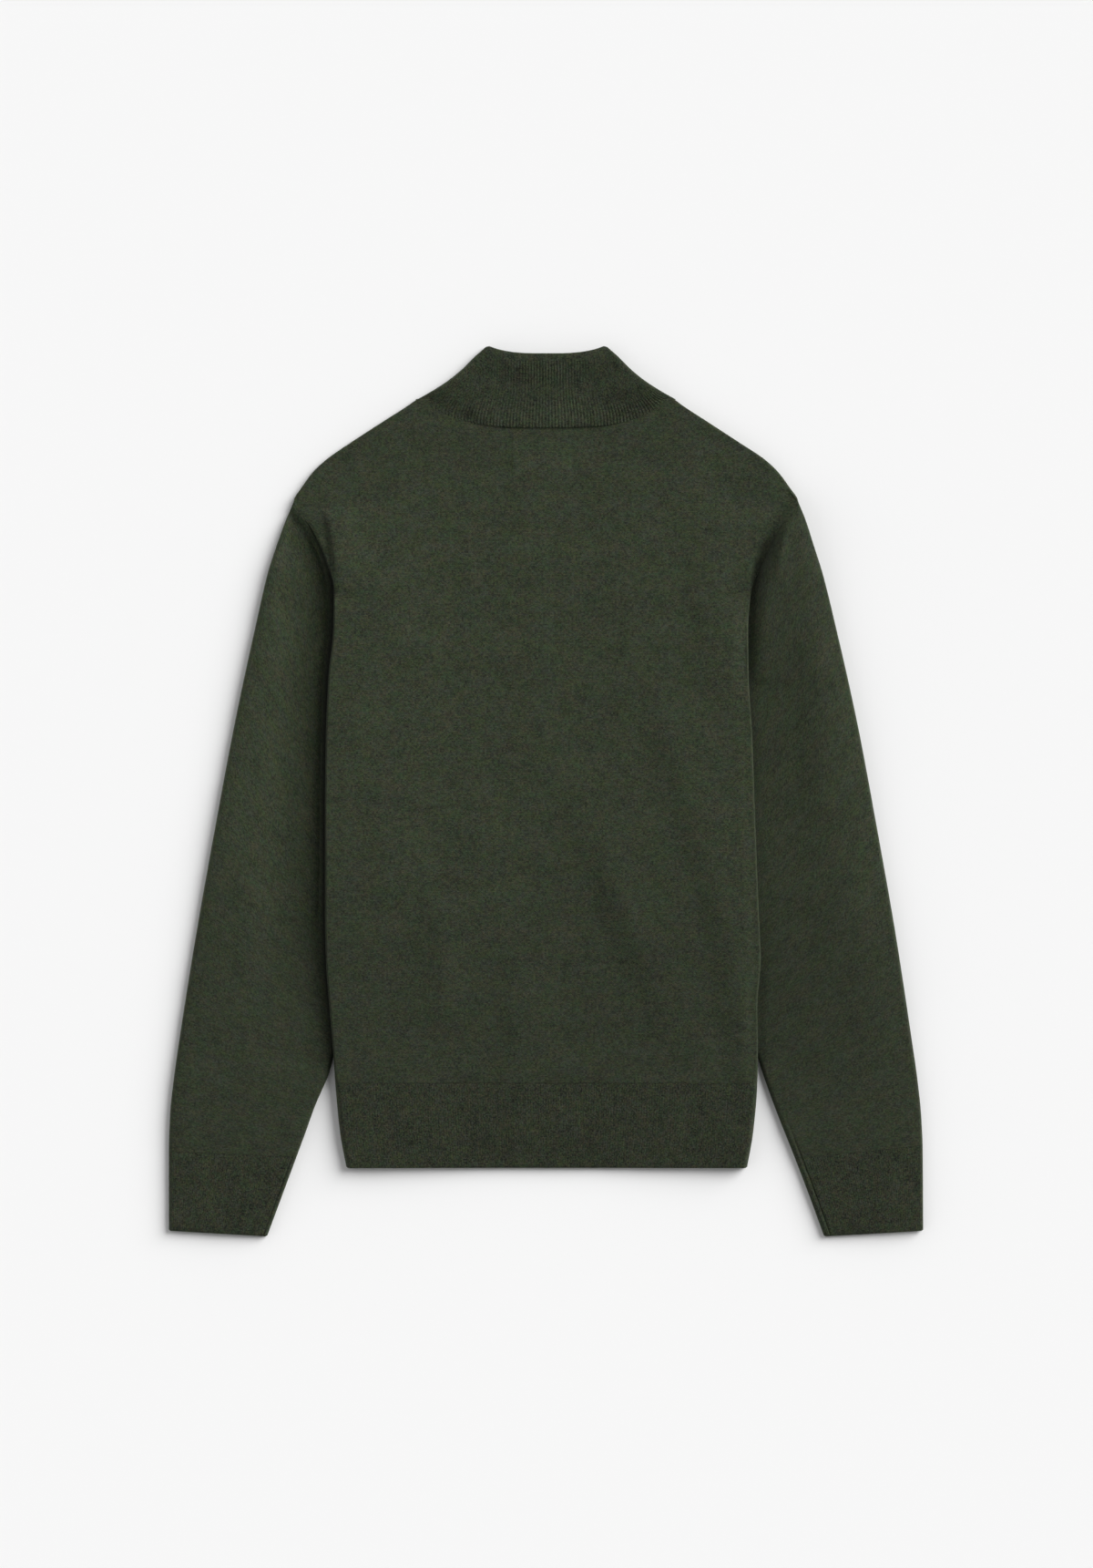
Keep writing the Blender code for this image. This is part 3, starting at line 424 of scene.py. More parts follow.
def painted_shade(x, y, part):
    """How much painted shade darkens the colour at a point of the body or of a sleeve."""
    side = np.where(x < 0, -1, 1)
    shade = np.zeros(np.shape(x))
    for name, sign in SIDES:
        out = sign * x - read(BODY_EDGE, name, y)
        # the crease's painted shade falls on the sleeve; of the body only on its rim, and on its
        # whole edge over the right armhole
        armhole = ramp(y, 160, 190) * (name == "right")
        away = (out - 0.4 * armhole) / read(CREASE_PAINTED_SHADE, name + "_width", y)
        rim = ramp(out, -1.7, -0.5) * (name == "left") * fade(y, 215, 235)
        over = np.maximum(armhole, rim if part == "body" else 1.0)
        painted_crease_shade = read(CREASE_PAINTED_SHADE, name, y) * np.exp(-away * away) * over
        # painted shade by height and side, from the table
        painted_light = read(PAINTED_LIGHT_LEVEL, "body" if part == "body" else name, y)
        shade = np.where(side == sign, 1 - painted_light * (1 - painted_crease_shade), shade)
    # the colour is made lighter over the neck label beneath
    label = rectangle(x, y, (-30.6, -29.4), (20.4, 21.6), (275, 276.5), (309, 311))
    # the folds add painted shade along the pinch and a painted highlight down the right shoulder
    return shade - 0.1 * label * (part == "body") + folds_height(PAINTED_SHADE_AND_HIGHLIGHT_FOLDS[part], x, y)


def layer_step(y):
    """From the underside of the back's turned-under strip to the front's layer above it."""
    return between(KNIT, RIB, ramp(-y, 236, -HEM_TOP_Y - SEAM)) + SEAM


def front_height(x, y, side, cloth):
    """Height of the front's outer face, which climbs on to its turned-under sides."""
    climb = layer_step(y) + KNIT + TURN_SLOT - (cloth - KNIT) / 2
    below_armpit = fade(y, ARMPIT_Y - 4, ARMPIT_Y + 24)
    seam = seam_x(y, side)
    return below_armpit * (ground(x, y, side) + climb * ramp(x, seam - RAMP, seam))


def front_edge_x(y, side):
    """Side edge of the front: inside the shoulder roll, along the armhole, then the side seam."""
    low = seam_x(y, side) - SEAM + 2.0 * ramp(-y, -ARMPIT_Y, 20 - ARMPIT_Y)
    high = between(armhole_x(y, side) - 2 * SEAM, seam_x(y, side) - SEAM, ramp(y, 238, 250))
    return np.where(y < ARMPIT_Y, low, high)


def sleeve_height(x, y, side, sign):
    """Height of a sleeve's outer face: pressed low under and beside the body, then crowned."""
    edge = between(read(BODY_EDGE, side, y), read(SLEEVE_INNER, side, y), free(y))
    beside, crest = read(STANDING, "beside_" + side, y), read(STANDING, "crest", y)
    share = (x - edge) / np.maximum(read(SLEEVE_OUTER, side, y) - edge, 20)
    peak = 0.88 if side == "left" else 0.74
    rise = 0.08 - 0.3 * ramp(-y, 60, 170)
    crown = (crest - beside) * ramp(share, rise, peak)
    crown = crown - (crest - SLEEVE_EDGE) * ramp(share, peak, 1.12)
    folds = LEFT_SLEEVE_FOLDS if side == "left" else RIGHT_SLEEVE_FOLDS
    settled = folds_height(folds, sign * x, y) + unevenness(sign * x + 400, y)
    shown = np.clip(ramp(x, edge + 0.5, edge + 8) + free(y), 0, 1)
    return beside + (crown + settled) * shown + swell(x, y, side) * ramp(x, edge - 0.5, edge)


# ---- making cloth


def quads(grid):
    """Corners of each quad between a grid's neighbours."""
    corners = (grid[:-1, :-1], grid[1:, :-1], grid[1:, 1:], grid[:-1, 1:])
    return np.stack(corners, axis=-1).reshape(-1, 4)


def border(grid):
    """A grid's border, once round and back to its first corner."""
    return np.concatenate((grid[0], grid[1:, -1], grid[-1, -2::-1], grid[-2::-1, 0]))


def column_faces(n, rings, start=0):
    """Faces of a closed column of rings of n points each, from the lowest ring up."""
    ring = np.arange(start, start + n)
    following = np.roll(ring, -1)
    walls = np.stack((ring, following, following + n, ring + n), -1)
    faces = [face for k in range(rings - 1) for face in (walls + k * n).tolist()]
    return [*faces, ring[::-1].tolist(), (ring + (rings - 1) * n).tolist()]


def placed(data):
    """Puts a mesh, light or camera into the scene."""
    thing = bpy.data.objects.new(data.name, data)
    bpy.context.scene.collection.objects.link(thing)
    return thing


def new_piece(name, points, faces, places, material, part):
    """A piece of cloth from points and faces in millimetres. places gives each corner's place in
    the knit, across and along its wales. part says which painted shade its colour gets."""
    points[:, 2] = np.maximum(points[:, 2], 0.0)  # the underside lies flat
    mesh = bpy.data.meshes.new(name)
    mesh.from_pydata((points * MM).tolist(), [], faces.tolist())
    layer = mesh.uv_layers.new(name="wales")
    layer.data.foreach_set("uv", (places * MM).ravel())
    if part:
        x, y, _ = points.T
        # painted shade, stored on the points for the material to darken the colour
        layer = mesh.attributes.new("painted_shade", "FLOAT", "POINT")
        layer.data.foreach_set("value", painted_shade(x, y, part))
    mesh.materials.append(material)
    mesh.shade_smooth()
    piece = placed(mesh)
    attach(piece, "garment")
    return piece


def cloth(name, outer, inner, wales, material, tube=False, finished=(0, 0, 0, 0), part=""):
    """A closed shell of cloth between an outer and an inner grid of points.

    A tube's columns run all the way round. finished rounds out the first and last row's edges,
    then the first and last column's.
    """
    rows, columns = outer.shape[:2]
    number = np.arange(rows * columns).reshape(rows, columns)
    if tube:
        number = np.hstack((number, number[:, :1]))
    across = number.shape[1]
    texture = np.arange(rows * across).reshape(rows, across)
    i, j = np.indices((rows, across))
    loops = ((i[0], j[0]), (i[-1], j[-1, ::-1])) if tube else ((border(i), border(j)),)
    points = [outer.reshape(-1, 3), inner.reshape(-1, 3)]
    faces = [quads(number), quads(number + rows * columns)[:, ::-1]]
    places = [quads(texture), quads(texture)[:, ::-1]]
    count = 2 * rows * columns
    for i, j in loops:
        column = j % columns
        middle = (outer[i, column] + inner[i, column]) / 2
        edges = ((i == 0, 1, 0), (i == rows - 1, -1, 0), (j == 0, 0, 1), (j == across - 1, 0, -1))
        for (there, inward, aside), bulge in zip(edges[:2] if tube else edges, finished):
            outward = outer[i, column] - outer[np.clip(i + inward, 0, rows - 1),
                                               np.clip(column + aside, 0, columns - 1)]
            length = np.maximum(np.linalg.norm(outward, axis=1, keepdims=True), 1e-6)
            middle = middle + there[:, None] * outward / length * bulge
        points.append(middle)
        rim = count + np.arange(len(i))
        rim[-1] = rim[0]
        place = texture[i, j]
        for near, far in ((number[i, j], rim), (rim, number[i, j] + rows * columns)):
            faces.append(np.stack((near[:-1], near[1:], far[1:], far[:-1]), axis=-1))
            places.append(np.stack((place[:-1], place[1:], place[1:], place[:-1]), axis=-1))
        count += len(i)
    points, faces, places = np.vstack(points), np.vstack(faces), np.vstack(places)
    used = np.unique(faces)
    points, faces = points[used], np.searchsorted(used, faces)
    a, b, c, d = (points[faces[:, k]] for k in range(4))
    volume = np.einsum("ij,ij->", a, np.cross(b, c)) + np.einsum("ij,ij->", a, np.cross(c, d))
    if volume < 0:  # the faces look inwards
        faces, places = faces[:, ::-1], places[:, ::-1]
    return new_piece(name, points, faces, wales.reshape(-1, 2)[places.ravel()], material, part)


def cut_out(piece, outline, low, high):
    """Cuts an outline, named anticlockwise in millimetres, out of a piece between two heights."""
    mesh = bpy.data.meshes.new("cutter")
    points = [(x * MM, y * MM, z * MM) for z in (low, high) for x, y in outline]
    mesh.from_pydata(points, [], column_faces(len(outline), 2))
    cutter = placed(mesh)
    modifier = piece.modifiers.new("cut", "BOOLEAN")
    modifier.operation = "DIFFERENCE"
    modifier.object = cutter
    evaluated = piece.evaluated_get(bpy.context.evaluated_depsgraph_get())
    mesh = bpy.data.meshes.new_from_object(evaluated)
    piece.modifiers.clear()
    piece.data = mesh
    bpy.data.objects.remove(cutter)


def grid(*values):
    """A grid of points, or of places in the knit, from their coordinates."""
    return np.stack(np.broadcast_arrays(*values), axis=-1).astype(float)


def arc(low, high, count):
    """A row of angles spread between two in degrees but without them: cosines, sines, angles."""
    angle = np.radians(np.linspace(low, high, count + 2)[1:-1])[None, :]
    return np.cos(angle), np.sin(angle), angle


# ---- body

STRIP_COLUMNS, FOLD_COLUMNS = 16, 12  # of the back's turned-under strips and their folds


def back_grids(y, columns, thick, ribs=0, raised=0.0):
    """The back's rows: the left turned-under strip and fold, the top, then the right ones."""
    y = np.asarray(y, float)[:, None]

    def side_parts(side, sign):
        """The strip and the fold, each as outer x and z, inner x and z, and place in the knit."""
        bend, radius, out = bend_x(y, side), fold_height(y, side) / 2, roll(y, side)
        base, seam = lift(y, side), seam_x(y, side)
        inside, out_in = radius - thick, np.maximum(out - thick, 0.05)
        x = between(seam, bend, np.linspace(0, 1, STRIP_COLUMNS))
        strip = (sign * x, ground(x, y, side), sign * x, ground(x, y, side) + thick,
                 sign * (2 * bend - x + math.pi * radius))
        c, s, angle = arc(-90, 90, FOLD_COLUMNS)
        # the free hem's fold sags on to the surface, so that it is widest low down
        sag = 1 + 0.7 * free(y)
        fold = (sign * (bend + out * c), base + 2 * radius * ((1 + s) / 2) ** sag,
                sign * (bend + out_in * c), base + thick + 2 * inside * ((1 + s) / 2) ** sag,
                sign * (bend + radius * (math.pi / 2 - angle)))
        return strip, fold

    share = np.linspace(-1, 1, columns)[None, :]
    if not ribs:
        # columns lie closer towards the edges, where the cloth bends most
        share = np.sign(share) * (1 - (1 - np.abs(share)) ** 1.5)
        # and along both sides of the neck label beneath
        label = np.concatenate((np.linspace(-0.176, -0.132, 14), np.linspace(0.096, 0.144, 15)))
        share = np.unique(np.append(share, label))[None, :]
    share = (share + 1) / 2
    x = between(-bend_x(y, "left"), bend_x(y, "right"), share)
    z = np.where(x < 0, back_height(-x, y, "left", -1), back_height(x, y, "right", 1))
    # ribs fade out where the hem folds round
    crest = np.cos(math.tau * ribs * share) * raised / 2
    crest = crest * ramp(share, 0, 0.01) * fade(share, 0.99, 1)
    strip, fold = side_parts("right", 1)
    parts = [*side_parts("left", -1), (x, z + crest, x, z - thick, x),
             [a[:, ::-1] for a in fold], [a[:, ::-1] for a in strip]]
    x, z, x_in, z_in, u = map(np.hstack, zip(*parts))
    return grid(x, y, z), grid(x_in, y, z_in), grid(u, y)


def rows_between(high, low, step):
    """Heights from high down to low, about step apart."""
    return np.linspace(high, low, max(2, round((high - low) / step) + 1))


def make_back():
    """The back, from the neck to the hem's rib."""
    end = HEM_TOP_Y + STITCHED
    y = np.concatenate(([NECK_Y + 1], rows_between(NECK_Y, end + 2.4, 3.6),
                        end + np.array([1.1, 0.4, 0])))
    return cloth("back_cloth", *back_grids(y, 161, KNIT), HEATHER, part="body")


def make_hem_back():
    """The back's rib hem. Its first course is a purl row that sinks in, its end is turned."""
    width = bend_x(HEM_TOP_Y, "left") + bend_x(HEM_TOP_Y, "right")
    ribs = round(float(width) / FINE_PITCH)
    y = np.concatenate((HEM_TOP_Y - np.array([0, 0.3, 0.9, 1.6, 2.4, 3.4]),
                        rows_between(HEM_TOP_Y - 6, HEM_Y + 2, 5.5), [HEM_Y + 0.8, HEM_Y]))
    outer, inner, wales = back_grids(y, 4 * ribs + 1, RIB, ribs, 0.2)
    folded = STRIP_COLUMNS + FOLD_COLUMNS
    sunk = 0.16 * fade(HEM_TOP_Y - y, 0.0, 3.4) + 0.35 * ramp(-y, -HEM_Y - 1.5, -HEM_Y)
    outer[:, folded:-folded, 2] -= sunk[:, None]
    return cloth("hem_back_rib", outer, inner, wales, RIBBED, finished=(0, 0.9, 0, 0), part="body")


def front_grids(y, columns, thick):
    """The front's rows, flat on the surface but for its sides below the armpits."""
    y = np.asarray(y, float)[:, None]
    share = np.linspace(0, 1, columns)[None, :]
    x = between(-front_edge_x(y, "left"), front_edge_x(y, "right"), share)
    z = np.where(x < 0, front_height(-x, y, "left", thick), front_height(x, y, "right", thick))
    return grid(x, y, z), grid(x, y, z + thick), grid(x, y)


def make_front():
    """The front, with the neck and the zip's opening cut out."""
    y = rows_between(NECK_Y, HEM_TOP_Y + SEAM, 6)
    front = cloth("front_cloth", *front_grids(y, 76, KNIT), HEATHER, part="body")
    clear = SEAM + 0.05
    right = [(ZIP_HALF, ZIP_BOTTOM_Y), (ZIP_HALF, COLLAR_FRONT_BASE_Y - clear)]
    for angle in np.radians(np.linspace(88, 0, 30)):
        x, y = collar_front(0.0, angle)
        right.append((float(x) + clear * math.cos(angle), float(y) - clear * math.sin(angle)))
    right.append((right[-1][0], NECK_Y + 20))
    outline = right + [(-x, y) for x, y in reversed(right)]
    cut_out(front, outline, -2, 6)
    return front


def make_front_side(side, sign):
    """One of the front's turned-under sides, two layers folded at the body's edge."""
    y = rows_between(ARMPIT_Y, HEM_Y, 6)[:, None]
    step, slot = layer_step(y), TURN_SLOT / 2
    radius = KNIT + slot
    seam = seam_x(y, side)
    clear = read(BODY_EDGE, side, y) - radius - KNIT - SEAM
    bend = np.minimum(bend_x(y, side), clear)
    share = np.linspace(0, 1, 12)[None, :]
    middle = ground(bend, y, side) + step + radius
    c, s, _ = arc(-90, 90, 10)
    x_low = between(seam + SEAM, bend, share)
    x_high = between(bend, seam + 2, share)
    z_low = ground(x_low, y, side) + step
    z_high = ground(x_high, y, side) + step + 2 * radius
    x = np.hstack((x_low, bend + radius * c, x_high))
    z = np.hstack((z_low, middle + radius * s, z_high))
    x_in = np.hstack((x_low, bend + slot * c, x_high))
    z_in = np.hstack((z_low + KNIT, middle + slot * s, z_high - KNIT))
    wales = grid(np.cumsum(np.full(x.shape, 5.0), 1), y)
    return cloth("front_turning_" + side, grid(sign * x, y, z), grid(sign * x_in, y, z_in),
                 wales, HEATHER, finished=(0, 0.6, 0, 0), part="body")


def make_hem_front():
    """The front's rib hem."""
    y = rows_between(HEM_TOP_Y, HEM_Y, 6)
    ribs = 104
    outer, inner, wales = front_grids(y, 4 * ribs + 1, RIB)
    return cloth("hem_front_rib", outer, inner, wales, RIBBED, finished=(0, 0.9, 0, 0), part="body")


# ---- sleeves and cuffs


def sleeve_plan(share, along, side):
    """A point across (share) and along a sleeve, from the armhole to the cuff."""
    cuff = CUFF_TOP[side]
    top_y = between(TIP_Y, cuff.outer + STITCHED, along)
    low_y = between(ARMPIT_Y, cuff.inner + STITCHED, along)
    x0, x1 = read(SLEEVE_OUTER, side, top_y), read(SLEEVE_INNER, side, low_y)
    start, end = armhole_x(TIP_Y, side), armhole_x(ARMPIT_Y, side)
    bow = armhole_x(between(TIP_Y, ARMPIT_Y, share), side) - between(start, end, share)
    return between(x0, x1, share) + bow * (1 - along) ** 4, between(top_y, low_y, share)


def cuff_plan(share, along, side):
    """A point across (share) and along a cuff, from the sleeve to its end."""
    top, end = CUFF_TOP[side], CUFF_END[side]
    outer_y = between(top.outer, end.outer, along)
    inner_y = between(top.inner, end.inner, along)
    x0, x1 = read(SLEEVE_OUTER, side, outer_y), read(SLEEVE_INNER, side, inner_y)
    return between(x0, x1, share), between(outer_y, inner_y, share)


# The underarm seam shows as a thin groove inside the sleeve's inner edge: how far in, how deep,
# and the height from which it can be seen
UnderarmSeam = namedtuple("UnderarmSeam", "inset depth start")
UNDERARM = {"left": UnderarmSeam(3.7, 0.9, -325), "right": UnderarmSeam(5.8, 0.8, -312)}


def tube_grids(plan, along, columns, thick, side, sign, ribs=0, raised=0.0, sunk=0.0):
    """A flattened tube, round from its outer edge over the top to its inner edge and back."""
    along = np.asarray(along, float)[:, None]
    (x0, y0), (x1, y1) = plan(0.0, along, side), plan(1.0, along, side)
    width = np.hypot(x1 - x0, y1 - y0)
    radius = SLEEVE_LOFT / 2
    bend, bend_in, thin = radius / width, (radius - thick) / width, 1 - thick / radius
    seam = UNDERARM[side]

    def face(share, low, share_in, thick_low):
        """Points at shares across; low goes from 0 at the top face to 1 at the bottom one."""
        x, y = plan(share, along, side)
        x_in, y_in = plan(share_in, along, side)
        top, top_in = sleeve_height(x, y, side, sign), sleeve_height(x_in, y_in, side, sign)
        from_edge = (1 - share) * width
        groove = seam.depth * np.exp(-((from_edge - seam.inset) / 0.75) ** 2)
        ridge = 0.35 * seam.depth * np.exp(-((from_edge - seam.inset + 2.6) / 1.6) ** 2)
        seen = ramp(-y, -seam.start - 30, -seam.start + 12)
        # the round edges sag on to the surface, so that they are widest low down
        z = (top + (ridge - groove) * seen * (low == 0) - sunk * (low == 0)) * (1 - low) ** 1.5
        if ribs:
            phase = ribs * (share - bend) / (1 - 2 * bend)
            z = z + (low == 0) * np.cos(math.tau * phase) * raised / 2
        z_in = (np.where(low == 0, top_in - thick, thick) if thick_low is None
                else top_in * (1 - thick_low))
        return grid(sign * x, y, z), grid(sign * x_in, y_in, z_in)

    share = np.linspace(0, 1, columns)[None, :]
    if ribs:
        share = between(bend, 1 - bend, share)
    else:
        # close columns beside the seam
        step = 0.55
        near = 1 - np.arange(14.0, 3.3, -step)[None, :] / width
        share = np.hstack((between(bend, near[:, :1] - step / width, share), near))
    c, s, _ = arc(0, 180, 10)
    under = share[:, ::-1]
    parts = (
        face(share, 0.0, share, None),
        face(1 - bend + bend * s, (1 - c) / 2, 1 - bend + bend_in * s, (1 - c * thin) / 2),
        face(under, 1.0, under, None),
        face(bend - bend * s, (1 + c) / 2, bend - bend_in * s, (1 + c * thin) / 2),
    )
    outer = np.hstack([p[0] for p in parts])
    inner = np.hstack([p[1] for p in parts])

    def run(points, axis):
        """Distance along the cloth from its first row or column."""
        steps = np.diff(points, axis=axis, prepend=points.take([0], axis))
        return np.cumsum(np.linalg.norm(steps, axis=2), axis)

    closed = np.hstack((outer, outer[:, :1]))
    return outer, inner, grid(sign * run(closed, 1), -run(closed[:, :1], 0))


def make_sleeve(side, sign):
    """A sleeve, pressed at the armhole and wherever the body lies on it."""
    along = np.concatenate(([0, 0.0005, 0.0015], np.linspace(0.004, 0.06, 15)[:-1],
                            np.linspace(0.06, 0.996, 139), [0.998, 0.9993, 1]))
    grids = tube_grids(sleeve_plan, along, 44, KNIT, side, sign)
    return cloth(f"sleeve_{side}_cloth", *grids, HEATHER, tube=True, part="sleeve")


def make_cuff(side, sign):
    """A rib cuff, with its ribs down the upper layer."""
    (x0, y0), (x1, y1) = cuff_plan(0.0, 0.0, side), cuff_plan(1.0, 0.0, side)
    ribs = round(math.hypot(x1 - x0, y1 - y0) / FINE_PITCH)
    along = np.concatenate(([0, 0.004, 0.012, 0.024, 0.036, 0.05], np.linspace(0.09, 0.97, 16),
                            [0.985, 1]))
    sunk = 0.14 * fade(along, 0.0, 0.045) + 0.3 * ramp(along, 0.98, 1)
    grids = tube_grids(cuff_plan, along, 4 * ribs + 1, RIB, side, sign, ribs, 0.16, sunk[:, None])
    return cloth(f"cuff_{side}_rib", *grids, RIBBED, tube=True, finished=(0, 0.9), part="sleeve")


# ---- collar


def collar_front(level, angle):
    """A point of the collar's front as it lies, from its side fold (angle 0) to the zip."""
    half = read(COLLAR, "half_width", level) - read(COLLAR, "height", level) / 2
    side = read(COLLAR, "side", level)
    front = between(COLLAR_FRONT_BASE_Y, ZIP_TOP_Y, level)
    return between(ZIP_HALF, half, np.cos(angle)), between(side, front, np.sin(angle))


def make_collar():
    """The collar in one piece, from the zip round the neck to the zip."""
    level = np.concatenate((np.linspace(0, 0.05, 5)[:-1], np.linspace(0.05, 1, 40)))[:, None]
    height, side = read(COLLAR, "height", level), read(COLLAR, "side", level)
    radius = height / 2
    half = read(COLLAR, "half_width", level) - radius
    middle = between(COLLAR_BASE_Y, COLLAR_TOP_Y, level)

    # the back: where each point lies in the flat rib before the ribs fan out
    x = half * np.linspace(-1, 1, 521)[None, :]
    lean = COLLAR_FAN * level / read(COLLAR, "half_width", 0.0) ** 4
    flat = x.copy()
    for _ in range(12):
        flat = flat - (flat - lean * flat**5 - x) / np.maximum(1 - 5 * lean * flat**4, 0.25)
    flat = flat * (1 + 0.13 * ramp(level, 0.05, 0.6))  # the ribs draw together upwards
    aside = np.abs(x)
    y = between(middle, side, (aside / half) ** 3.3)
    z = height - read(COLLAR_DIP, "dip", level) * fade(aside, 34, 0.96 * half)
    # the ribs are flatter in the dip and stop below the edge band
    in_dip = ramp(level, 0.36, 0.44) * fade(level, 0.56, 0.64)
    raised = 0.5 + 0.14 * ramp(aside, 30, 60) + 0.2 * fade(level, 0, 0.06)
    raised = raised * fade(level, 0.86, 0.93) * (1 - 0.6 * in_dip)
    crest = np.cos(math.tau * flat / COLLAR_PITCH) * raised / 2
    # both ends turn down, the base more so towards the sides
    corner = ramp(aside, 36, 84)
    turned = (0.4 + 2.6 * corner) * fade(level, 0, 0.07 + 0.25 * corner)
    turned = turned + 0.5 * ramp(level, 0.95, 1)
    z_out = z + crest * fade(aside, half - 3, half) - turned
    z_in = np.minimum(z - COLLAR_RIB, z_out - 0.8)

    c, s, _ = arc(90, -90, 12)
    low_base = 1 - 0.34 * fade(level, 0, 0.32)
    front_x, front_y = collar_front(level, np.radians(np.linspace(0, 90, 40))[None, :])

    def from_zip_to_zip(back_z, size, front_z):
        """One face, by the heights of its back and front and its size at the side folds."""
        right = np.hstack((grid(half + size * c, side, (radius + size * s) * low_base),
                           grid(front_x, front_y, front_z)))
        return np.hstack((right[:, ::-1] * (-1, 1, 1), grid(x, y, back_z), right))

    outer = from_zip_to_zip(z_out, radius, 0.0)
    inner = from_zip_to_zip(z_in, radius - COLLAR_RIB, COLLAR_RIB)
    beyond = np.linspace(2, 180, (outer.shape[1] - flat.shape[1]) // 2)[None, :]
    across = np.hstack((flat[:, :1] - beyond[:, ::-1], flat, flat[:, -1:] + beyond))
    return cloth("collar_rib", outer, inner, grid(across, 70 * level), COLLAR_KNIT,
                 finished=(0.8, 0.9, 0, 0))


# ---- zip

TAPE = 1.0
TAPE_INNER, TAPE_OUTER = 1.3, 12.0
TOOTH_PITCH = 2.2


def tape_low(y):
    """Height of the tape's outer face, behind the front and then behind the thicker collar."""
    return SEAM + between(KNIT, COLLAR_RIB, ramp(y, 232, 240))


def make_tape(side, sign):
    """A woven tape, with a thicker cord along the edge that holds the teeth."""
    y = rows_between(ZIP_TOP_Y - 1, ZIP_BOTTOM_Y - 7, 3)[:, None]
    x = np.linspace(TAPE_INNER, TAPE_OUTER, 14)[None, :]
    cord = 0.12 * np.exp(-((x - TAPE_INNER - 0.6) / 0.6) ** 2)
    outer = grid(sign * x, y, tape_low(y) - cord + 0.12)
    inner = grid(sign * x, y, tape_low(y) + TAPE)
    return cloth(f"zip_tape_{side}_weave", outer, inner, grid(sign * x, y), TAPE_WEAVE)


def make_teeth(side, sign):
    """One side's row of teeth, each clamped over the tape's cord with a rounded head."""
    profile = [(-0.55, 0.25), (-0.35, 0.5), (0.35, 0.36), (0.9, 0.5), (2.4, 0.5), (2.6, 0.35)]
    outline = profile + [(x, -w) for x, w in reversed(profile)]
    points, faces = [], []
    y = ZIP_BOTTOM_Y + 3 + (TOOTH_PITCH / 2 if sign > 0 else 0)
    while y < ZIP_TOP_Y - 2:
        middle = float(tape_low(y)) + TAPE / 2
        faces += column_faces(len(outline), 4, len(points))
        for z, shrink in ((-0.7, 0.75), (-0.5, 1.0), (0.5, 1.0), (0.7, 0.75)):
            points += [(sign * (0.9 + (x - 0.9) * (0.9 + 0.1 * shrink)), y + w * shrink,
                        middle + z) for x, w in outline]
        y += TOOTH_PITCH
    if sign > 0:  # the outline runs the other way round
        faces = [face[::-1] for face in faces]
    mesh = bpy.data.meshes.new(f"zip_teeth_{side}")
    mesh.from_pydata([tuple(c * MM for c in p) for p in points], [], faces)
    mesh.materials.append(ZIP_METAL)
    mesh.shade_smooth()
    mesh.set_sharp_from_angle(angle=math.radians(35))
    teeth = placed(mesh)
    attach(teeth, "garment")


# ---- materials


def linear(code):
    """An sRGB hex colour as linear values with alpha."""
    values = [int(code[i:i + 2], 16) / 255 for i in (0, 2, 4)]
    return tuple(v / 12.92 if v <= 0.04045 else ((v + 0.055) / 1.055) ** 2.4
                 for v in values) + (1.0,)


def add(owner, kind, inputs=(), output=0, **settings):
    """Adds a node to a material or world and gives its output. inputs holds values and other
    nodes' outputs, in the sockets' order or by their names or numbers."""
    tree = owner.node_tree
    node = tree.nodes.new("ShaderNode" + kind)
    for name, value in settings.items():
        setattr(node, name, value)
    for key, value in inputs.items() if isinstance(inputs, dict) else enumerate(inputs):
        if isinstance(value, bpy.types.NodeSocket):
            tree.links.new(value, node.inputs[key])
        else:
            node.inputs[key].default_value = value
    return node.outputs[output] if node.outputs else None


def new_material(name):
    """A material without nodes, and the function that adds them to it."""
    material = bpy.data.materials.new(name)
    material.use_nodes = True
    material.node_tree.nodes.clear()
    return material, partial(add, material)


